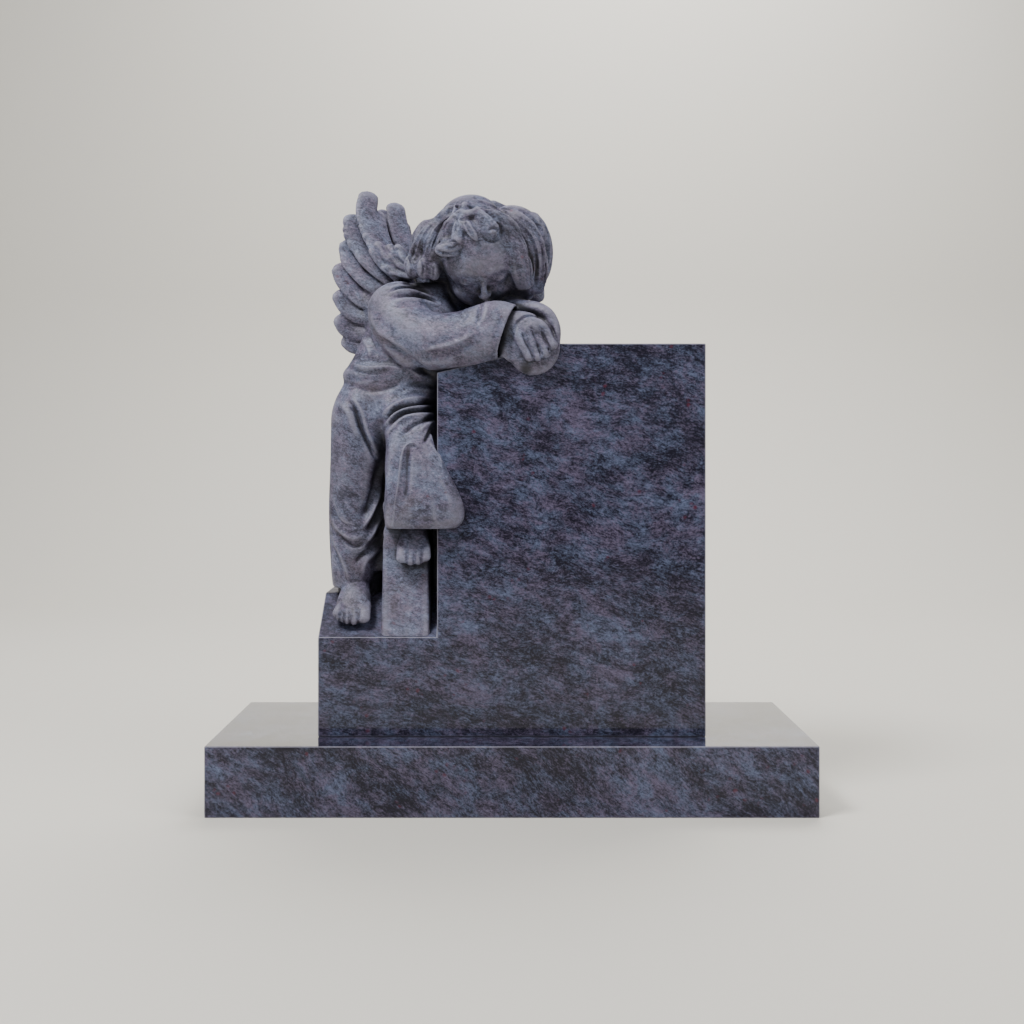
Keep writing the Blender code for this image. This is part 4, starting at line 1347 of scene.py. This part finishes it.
        spot = (points + normals * blur - low) / cell - 0.5
        inside = np.clip(spot, 0, np.array(shape) - 1.001)
        corner = inside.astype(int)
        f = inside - corner
        value = np.zeros(len(points))
        for i, j, k in np.ndindex(2, 2, 2):
            part = np.abs(1 - i - f[:, 0]) * np.abs(1 - j - f[:, 1]) * np.abs(1 - k - f[:, 2])
            value += part * filled[corner[:, 0] + i, corner[:, 1] + j, corner[:, 2] + k]
        on_flat = math.exp(-0.5) / (math.sqrt(2 * math.pi) * blur)
        on_wing = np.clip((points[:, 1] - WING_DEPTH) / 20, 0, 1) * (points[:, 2] > WING_HEIGHT)
        on_hair = np.clip((points[:, 2] - HAIR_HEIGHT) / 30, 0, 1) * (1 - on_wing)
        kept = 1 - WING_CUT * on_wing - HAIR_CUT * on_hair
        store(mesh, "shelter", np.clip(value / on_flat * kept, 0, 4))


def mesh_arrays(mesh: bpy.types.Mesh) -> tuple[np.ndarray, np.ndarray]:
    """Reads a mesh into arrays.

    Args:
        mesh: The mesh to read.

    Returns:
        Its points and their normals, one row for each.
    """
    points = np.empty(len(mesh.vertices) * 3)
    normals = np.empty(len(mesh.vertices) * 3)
    mesh.vertices.foreach_get("co", points)
    mesh.vertices.foreach_get("normal", normals)
    return points.reshape(-1, 3), normals.reshape(-1, 3)


def store(mesh: bpy.types.Mesh, name: str, values: np.ndarray) -> None:
    """Keeps one number a point as an attribute of the mesh.

    Args:
        mesh: The mesh to add it to.
        name: The attribute's name, which a material reads.
        values: The numbers, in the order of the points.
    """
    attribute = mesh.attributes.new(name, "FLOAT", "POINT")
    attribute.data.foreach_set("value", values.astype(np.float32))


class StreakRun(Enum):
    """Which way the granite's streaks run, as turns about X, Y and Z in degrees."""

    LEVEL = (0.0, -14.0, 0.0)
    FALLING = (0.0, -38.0, 8.0)


class Socket:
    """A node's output, or a number, that builds Math nodes when it is used in an expression."""

    def __init__(self, maker: "NodeMaker", source: Union[bpy.types.NodeSocket, float]) -> None:
        """Keeps the maker and the wrapped output."""
        self.maker = maker
        self.source = source

    def math(self, operation: str, *others: Value) -> "Socket":
        """Adds a Math node.

        Args:
            operation: What the node does.
            others: What follows this value in its inputs.

        Returns:
            The node's value.
        """
        inputs = {0: self, **{k + 1: other for k, other in enumerate(others)}}
        return self.maker.node("ShaderNodeMath", {"operation": operation}, inputs)

    def __add__(self, other: Value) -> "Socket":
        """This plus other."""
        return self.math("ADD", other)

    def __mul__(self, other: Value) -> "Socket":
        """This times other."""
        return self.math("MULTIPLY", other)

    def __sub__(self, other: Value) -> "Socket":
        """This less other."""
        return self.math("SUBTRACT", other)

    def __rsub__(self, other: float) -> "Socket":
        """Other less this."""
        return self.maker.node("ShaderNodeMath", {"operation": "SUBTRACT"}, {0: other, 1: self})

    __radd__ = __add__
    __rmul__ = __mul__

    def between(self, low: float, high: float) -> "Socket":
        """Reads 0 below low and 1 above high, with a smooth step from one to the other.

        Args:
            low: The value that gives 0.
            high: The value that gives 1.

        Returns:
            The stepped value.
        """
        inputs = {"Value": self, "From Min": low, "From Max": high}
        return self.maker.node("ShaderNodeMapRange", {"interpolation_type": "SMOOTHSTEP"}, inputs)


class NodeMaker:
    """Adds nodes to one material."""

    def __init__(self, material: bpy.types.Material) -> None:
        """Keeps the material's tree and its shader.

        Args:
            material: The material to add to.
        """
        material.use_nodes = True
        self.tree = material.node_tree
        self.shader = self.tree.nodes["Principled BSDF"]

    def node(self, kind: str, settings: dict, inputs: dict, output: Union[int, str] = 0) -> Socket:
        """Makes one node.

        Args:
            kind: The node's type.
            settings: Its properties, set first.
            inputs: Values or links by input name or number.
            output: Which output to hand back.

        Returns:
            The output, wrapped.
        """
        made = self.tree.nodes.new(kind)
        for name, value in settings.items():
            setattr(made, name, value)
        for key, value in inputs.items():
            self.join(made.inputs[key], value)
        return Socket(self, made.outputs[output])

    def join(self, target: bpy.types.NodeSocket, value: object) -> None:
        """Links or sets one input.

        Args:
            target: The input.
            value: A wrapped output to link, or else a value to set.
        """
        if isinstance(value, Socket):
            self.tree.links.new(value.source, target)
        else:
            target.default_value = value

    def mix(self, amount: Value, first: object, second: object) -> Socket:
        """A colour between two, by amount."""
        settings = {"data_type": "RGBA"}
        return self.node("ShaderNodeMix", settings, {0: amount, 6: first, 7: second}, 2)

    def place(self) -> Socket:
        """Object coordinates."""
        return self.node("ShaderNodeTexCoord", {}, {}, "Object")

    def measured(self, name: str) -> Socket:
        """What the mesh keeps under a name for each point."""
        return self.node("ShaderNodeAttribute", {"attribute_name": name}, {}, "Fac")

    def vector(self, operation: str, first: object, second: object) -> Socket:
        """A vector worked out from two."""
        return self.node("ShaderNodeVectorMath", {"operation": operation}, {0: first, 1: second})

    def give(self, name: str, value: object) -> None:
        """Links or sets an input of the shader."""
        self.join(self.shader.inputs[name], value)

    def parts(self, vector: Socket) -> tuple[Socket, Socket, Socket]:
        """Splits a vector.

        Args:
            vector: The vector.

        Returns:
            Its X, Y and Z.
        """
        x = self.node("ShaderNodeSeparateXYZ", {}, {0: vector})
        outputs = x.source.node.outputs
        return Socket(self, outputs[0]), Socket(self, outputs[1]), Socket(self, outputs[2])

    def warped(self, shift: Row, scale: float, amount: float) -> Socket:
        """Moves Object coordinates and bends them: place + shift + amount * (noise - 0.5).

        Args:
            shift: How far they are moved.
            scale: Scale of the noise that bends them.
            amount: How strongly it does, in metres.

        Returns:
            The bent coordinates.
        """
        moved = self.vector("ADD", self.place(), shift)
        bend = self.node("ShaderNodeTexNoise", {}, {"Vector": moved, "Scale": scale, "Detail": 2.0}, "Color")
        middle = self.vector("SUBTRACT", bend, (0.5, 0.5, 0.5))
        return self.vector("ADD", moved, self.vector("MULTIPLY", middle, (amount,) * 3))

    def stretched(self, where: Socket, scale: Row, turn: Row) -> Socket:
        """Turns coordinates and then stretches them.

        Args:
            where: The coordinates.
            scale: Factors along X, Y and Z.
            turn: Turns about X, Y and Z, in degrees.

        Returns:
            The changed coordinates.
        """
        rotation = [math.radians(a) for a in turn]
        turned = self.node("ShaderNodeMapping", {}, {"Vector": where, "Rotation": rotation})
        return self.vector("MULTIPLY", turned, scale)

    def noise(
        self,
        where: Socket,
        scale: float,
        detail: float = 6.0,
        rough: float = 0.6,
        warp: float = 0.0,
    ) -> Socket:
        """Adds a cloudy value from 0 to 1.

        Args:
            where: The coordinates it is read at.
            scale: How many clouds there are in a metre, roughly.
            detail: Finer and finer layers.
            rough: Weight of the finer layers.
            warp: How far the clouds are twisted.

        Returns:
            The value.
        """
        inputs = {"Vector": where, "Scale": scale, "Detail": detail, "Roughness": rough, "Distortion": warp}
        return self.node("ShaderNodeTexNoise", {}, inputs)


def shade(red: float, green: float, blue: float) -> tuple[float, float, float, float]:
    """Turns a colour of the screen into linear light, by the sRGB curve.

    Args:
        red: Red from 0 to 255.
        green: Green from 0 to 255.
        blue: Blue from 0 to 255.

    Returns:
        Linear red, green and blue, and full opacity.
    """
    parts = [c / 255 for c in (red, green, blue)]
    linear = [c / 12.92 if c <= 0.04045 else ((c + 0.055) / 1.055) ** 2.4 for c in parts]
    return (*linear, 1.0)


@dataclass(frozen=True)
class Granite:
    """A dark streaked granite with garnet specks, polished or honed.

    The weights are those of the broad clouds, patches, streaks and grain, whose sum runs from the ground's
    colour to the light ones' over the range that light gives.
    """

    name: str
    run: StreakRun
    ground: tuple = shade(20, 18, 32)
    blue: tuple = shade(94, 103, 131)
    violet: tuple = shade(100, 88, 112)
    garnet: tuple = shade(84, 28, 44)
    pale: tuple = shade(112, 121, 146)
    stretch: float = 2.2
    shift: Row = (0.0, 0.0, 0.0)
    weights: Row = (0.28, 0.42, 0.56, 0.50)
    light: tuple[float, float] = (0.77, 1.08)
    polish: float = 0.07
    honed: bool = False

    def streaks(self, maker: NodeMaker) -> Socket:
        """Builds the stone's own colour: dark ground, blue and violet streaks, pale flecks and specks.

        Args:
            maker: Adds the nodes.

        Returns:
            The colour.
        """
        turn = self.run.value
        warped = maker.warped(self.shift, 7.0, 0.035)
        layers = [
            (1.5, 8, 3, 0.5),
            (self.stretch, 34, 6, 0.66, 0.5),
            (1.15 * self.stretch, 130, 7, 0.72, 0.7),
            (1.5, 300, 5, 0.75),
            (1.4, 26, 6, 0.7, 0.4),
        ]
        broad, patch, streak, grain, tint = (
            maker.noise(maker.stretched(warped, (1, 1, up), turn), *noise) for up, *noise in layers
        )
        a, b, c, d = self.weights
        value = broad * a + patch * b + streak * c + grain * d
        light = value.between(*self.light)
        hue = (tint + grain * 0.6).between(0.70, 0.92)
        colour = maker.mix(light, self.ground, maker.mix(hue * 0.85, self.blue, self.violet))
        flecks = value.between(self.light[1] - 0.07, self.light[1] + 0.09) * 0.6
        colour = maker.mix(flecks, colour, self.pale)
        cell = maker.node("ShaderNodeTexVoronoi", {}, {"Vector": warped, "Scale": 74.0, "Randomness": 1.0}, 0)
        cluster = maker.noise(warped, 20, 3, 0.5)
        ragged = cell + streak * 0.3
        speck = (1 - ragged.between(0.24, 0.46)) * cluster.between(0.56, 0.66)
        return maker.mix(speck * 0.62, colour, self.garnet)

    def material(self) -> bpy.types.Material:
        """Builds the finish.

        Returns:
            The material.
        """
        material = bpy.data.materials.new(self.name)
        maker = NodeMaker(material)
        colour = self.streaks(maker)
        fine = maker.noise(maker.place(), 700, 3, 0.6)
        if self.honed:
            self.dress_honed(maker, colour, fine)
        else:
            self.dress_polished(maker, colour, fine)
        return material

    def dress_polished(self, maker: NodeMaker, colour: Socket, fine: Socket) -> None:
        """Finishes polished faces, with sawn arrises and a honed footing.

        An arris is where no part of the normal is near 1. The footing is the slope left of the slab.

        Args:
            maker: Adds the nodes.
            colour: The stone's own colour.
            fine: A fine noise, from 0 to 1.
        """
        x, y, z = maker.parts(maker.node("ShaderNodeNewGeometry", {}, {}, "Normal"))
        here_x, _, here_z = maker.parts(maker.place())
        square = x.math("ABSOLUTE").math("MAXIMUM", y.math("ABSOLUTE")).math("MAXIMUM", z.math("ABSOLUTE"))
        on_step = (1 - here_x.between(SLAB_LEFT - 0.0012, SLAB_LEFT - 0.0008)) * z.between(0.77, 0.79)
        footing = on_step * here_z.between(STEP_TOP, STEP_TOP + 0.001)
        arris = (1 - square.between(0.935, 0.965)) * (1 - footing)
        colour = maker.mix(footing * 0.25, colour, shade(70, 68, 84))
        maker.give("Base Color", maker.mix(arris * 0.42, colour, shade(150, 148, 162)))
        dull = (arris * 0.4).math("MAXIMUM", footing * 0.35)
        maker.give("Roughness", self.polish + 0.04 * fine + dull)
        top = z.between(0.9, 0.95) * (1 - here_z.between(0.11, 0.12))
        maker.give("Coat Weight", top)
        maker.give("Coat Roughness", 0.04)
        maker.give("Specular IOR Level", 0.32)

    def dress_honed(self, maker: NodeMaker, colour: Socket, fine: Socket) -> None:
        """Finishes a honed carving: painted shade in its hollows and recesses, and ridges worn pale.

        Args:
            maker: Adds the nodes.
            colour: The stone's own colour.
            fine: A fine noise, from 0 to 1.
        """
        hollow, shelter = maker.measured("hollow"), maker.measured("shelter")
        cloud = maker.noise(maker.place(), 9, 4, 0.6, 0.3)
        brown = cloud.between(0.56, 0.74) * 0.3
        colour = maker.mix(brown, colour, shade(104, 93, 94))
        worn = maker.mix((0 - hollow).between(0.5, 2.2) * 0.4, colour, shade(140, 138, 156))
        # Painted shade: the grooves, where the hollow measure is high, are darkened
        deep = maker.mix(hollow.between(0.5, 2.2) * 0.6, worn, shade(28, 26, 36))
        # Painted shade: where other surfaces close in, the colour goes towards near black
        dark = maker.mix(shelter.between(1.28, 2.5) * 0.85, deep, shade(17, 16, 22))
        maker.give("Base Color", dark)
        maker.give("Roughness", 0.52 + 0.15 * fine)
        grain = maker.noise(maker.place(), 520, 4, 0.65)
        bump = {"Height": grain, "Strength": 0.3, "Distance": 0.0006}
        maker.give("Normal", maker.node("ShaderNodeBump", {}, bump))


HONED = Granite(
    "honed_granite",
    StreakRun.LEVEL,
    ground=shade(40, 38, 54),
    blue=shade(110, 117, 144),
    violet=shade(111, 99, 122),
    garnet=shade(92, 48, 62),
    pale=shade(158, 165, 184),
    stretch=1.6,
    weights=(0.26, 0.36, 0.58, 0.60),
    light=(0.75, 1.06),
    shift=(0.7, 1.9, 0.3),
    honed=True,
)


@dataclass
class Studio:
    """A pale floor, soft lights and the camera at the photograph's viewing angle."""

    eye: Row = (-0.0027, -1.933, 0.507)
    focal_px: float = 1270.0
    centre_px: tuple[float, float] = (510.0, 455.0)
    frame_px: float = 1024.0
    floor_half: float = 30.0
    floor_end: float = 2.2
    bend_radius: float = 1.2
    wall_top: float = 6.0

    def floor(self) -> bpy.types.Object:
        """A plain pale floor that curves up far behind, as a profile in y and z carried along X.

        Returns:
            The floor object.
        """
        half, end, radius = self.floor_half, self.floor_end, self.bend_radius
        flat = np.array([(-half, 0.0), (end, 0.0)])
        bend = np.linspace(0, math.pi / 2, 16)[1:]
        curve = np.column_stack([end + radius * np.sin(bend), radius - radius * np.cos(bend)])
        profile = np.vstack([flat, curve, [(end + radius, self.wall_top)]])
        x = np.array([-half, half])
        grid = np.stack(np.broadcast_arrays(x[:, None], profile[None, :, 0], profile[None, :, 1]), axis=-1)
        points = grid.reshape(-1, 3)
        n = len(profile)
        k = np.arange(n - 1)
        quads = np.column_stack([k, n + k, n + k + 1, k + 1])
        floor = Skin(points, quads, np.empty((0, 3), int)).to_object("floor")
        floor.data.shade_smooth()
        material = bpy.data.materials.new("pale_floor")
        maker = NodeMaker(material)
        maker.give("Base Color", shade(208, 204, 195))
        maker.give("Roughness", 0.7)
        floor.data.materials.append(material)
        return floor

    def light(
        self,
        name: str,
        place: Row,
        aim: Row,
        power: float,
        size: float,
        glossy: bool = True,
    ) -> None:
        """Adds a square area lamp.

        Args:
            name: Its name.
            place: Where it hangs.
            aim: The point it is turned to.
            power: Its power, in watts.
            size: Its side, in metres.
            glossy: Whether the polished stone mirrors it.
        """
        lamp = bpy.data.lights.new(name, "AREA")
        lamp.energy = power
        lamp.size = size
        obj = bpy.data.objects.new(name, lamp)
        obj.location = place
        obj.rotation_euler = (Vector(aim) - Vector(place)).to_track_quat("-Z", "Y").to_euler()
        obj.visible_glossy = glossy
        bpy.context.scene.collection.objects.link(obj)

    def camera(self) -> None:
        """A level camera in front of the slab, shifted as the photograph's framing needs."""
        lens = bpy.data.cameras.new("camera")
        lens.sensor_width = 36.0
        lens.lens = self.focal_px / self.frame_px * lens.sensor_width
        half = self.frame_px / 2
        lens.shift_x = (half - self.centre_px[0]) / self.frame_px
        lens.shift_y = -(half - self.centre_px[1]) / self.frame_px
        obj = bpy.data.objects.new("camera", lens)
        obj.location = self.eye
        obj.rotation_euler = (math.pi / 2, 0.0, 0.0)
        bpy.context.scene.collection.objects.link(obj)
        bpy.context.scene.camera = obj

    def build(self) -> None:
        """Sets up the floor, lights, surroundings and camera."""
        self.floor()
        self.light("key", (-1.45, -1.3, 3.2), (-0.1, 0, 0.5), 134, 1.0)
        self.light("fill", (2.3, -1.5, 2.4), (0, 0, 0.5), 42, 1.6)
        self.light("rim", (0.6, 1.9, 3.6), (0.1, 2.6, 0.4), 175, 2.4, glossy=False)
        world = bpy.data.worlds.new("soft_sky")
        world.use_nodes = True
        bpy.context.scene.world = world
        sky = world.node_tree.nodes["Background"]
        sky.inputs["Color"].default_value = (0.86, 0.88, 0.92, 1.0)
        sky.inputs["Strength"].default_value = 0.42
        self.camera()


def dress(node: str, finish: Granite) -> None:
    """Gives a kept solid its finish.

    Args:
        node: The solid's node.
        finish: The finish.
    """
    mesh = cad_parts[node].data
    mesh.materials.clear()
    mesh.materials.append(finish.material())
    log.info("%s: %s", node, finish.name)


def main() -> None:
    """Builds and dresses every piece."""
    logging.basicConfig(level=logging.INFO, format="%(name)s: %(message)s")
    dress("plinth", Granite("polished_granite_plinth", StreakRun.FALLING, shift=(3.1, 0.4, 1.7)))
    dress("headstone", Granite("polished_granite_slab", StreakRun.LEVEL))
    angel = Angel().build()
    angel.data.materials.clear()
    angel.data.materials.append(HONED.material())
    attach(angel, "root")
    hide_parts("angel")
    log.info("carved_angel: %d points, %d faces", len(angel.data.vertices), len(angel.data.polygons))
    Studio().build()


if __name__ == "__main__":
    main()
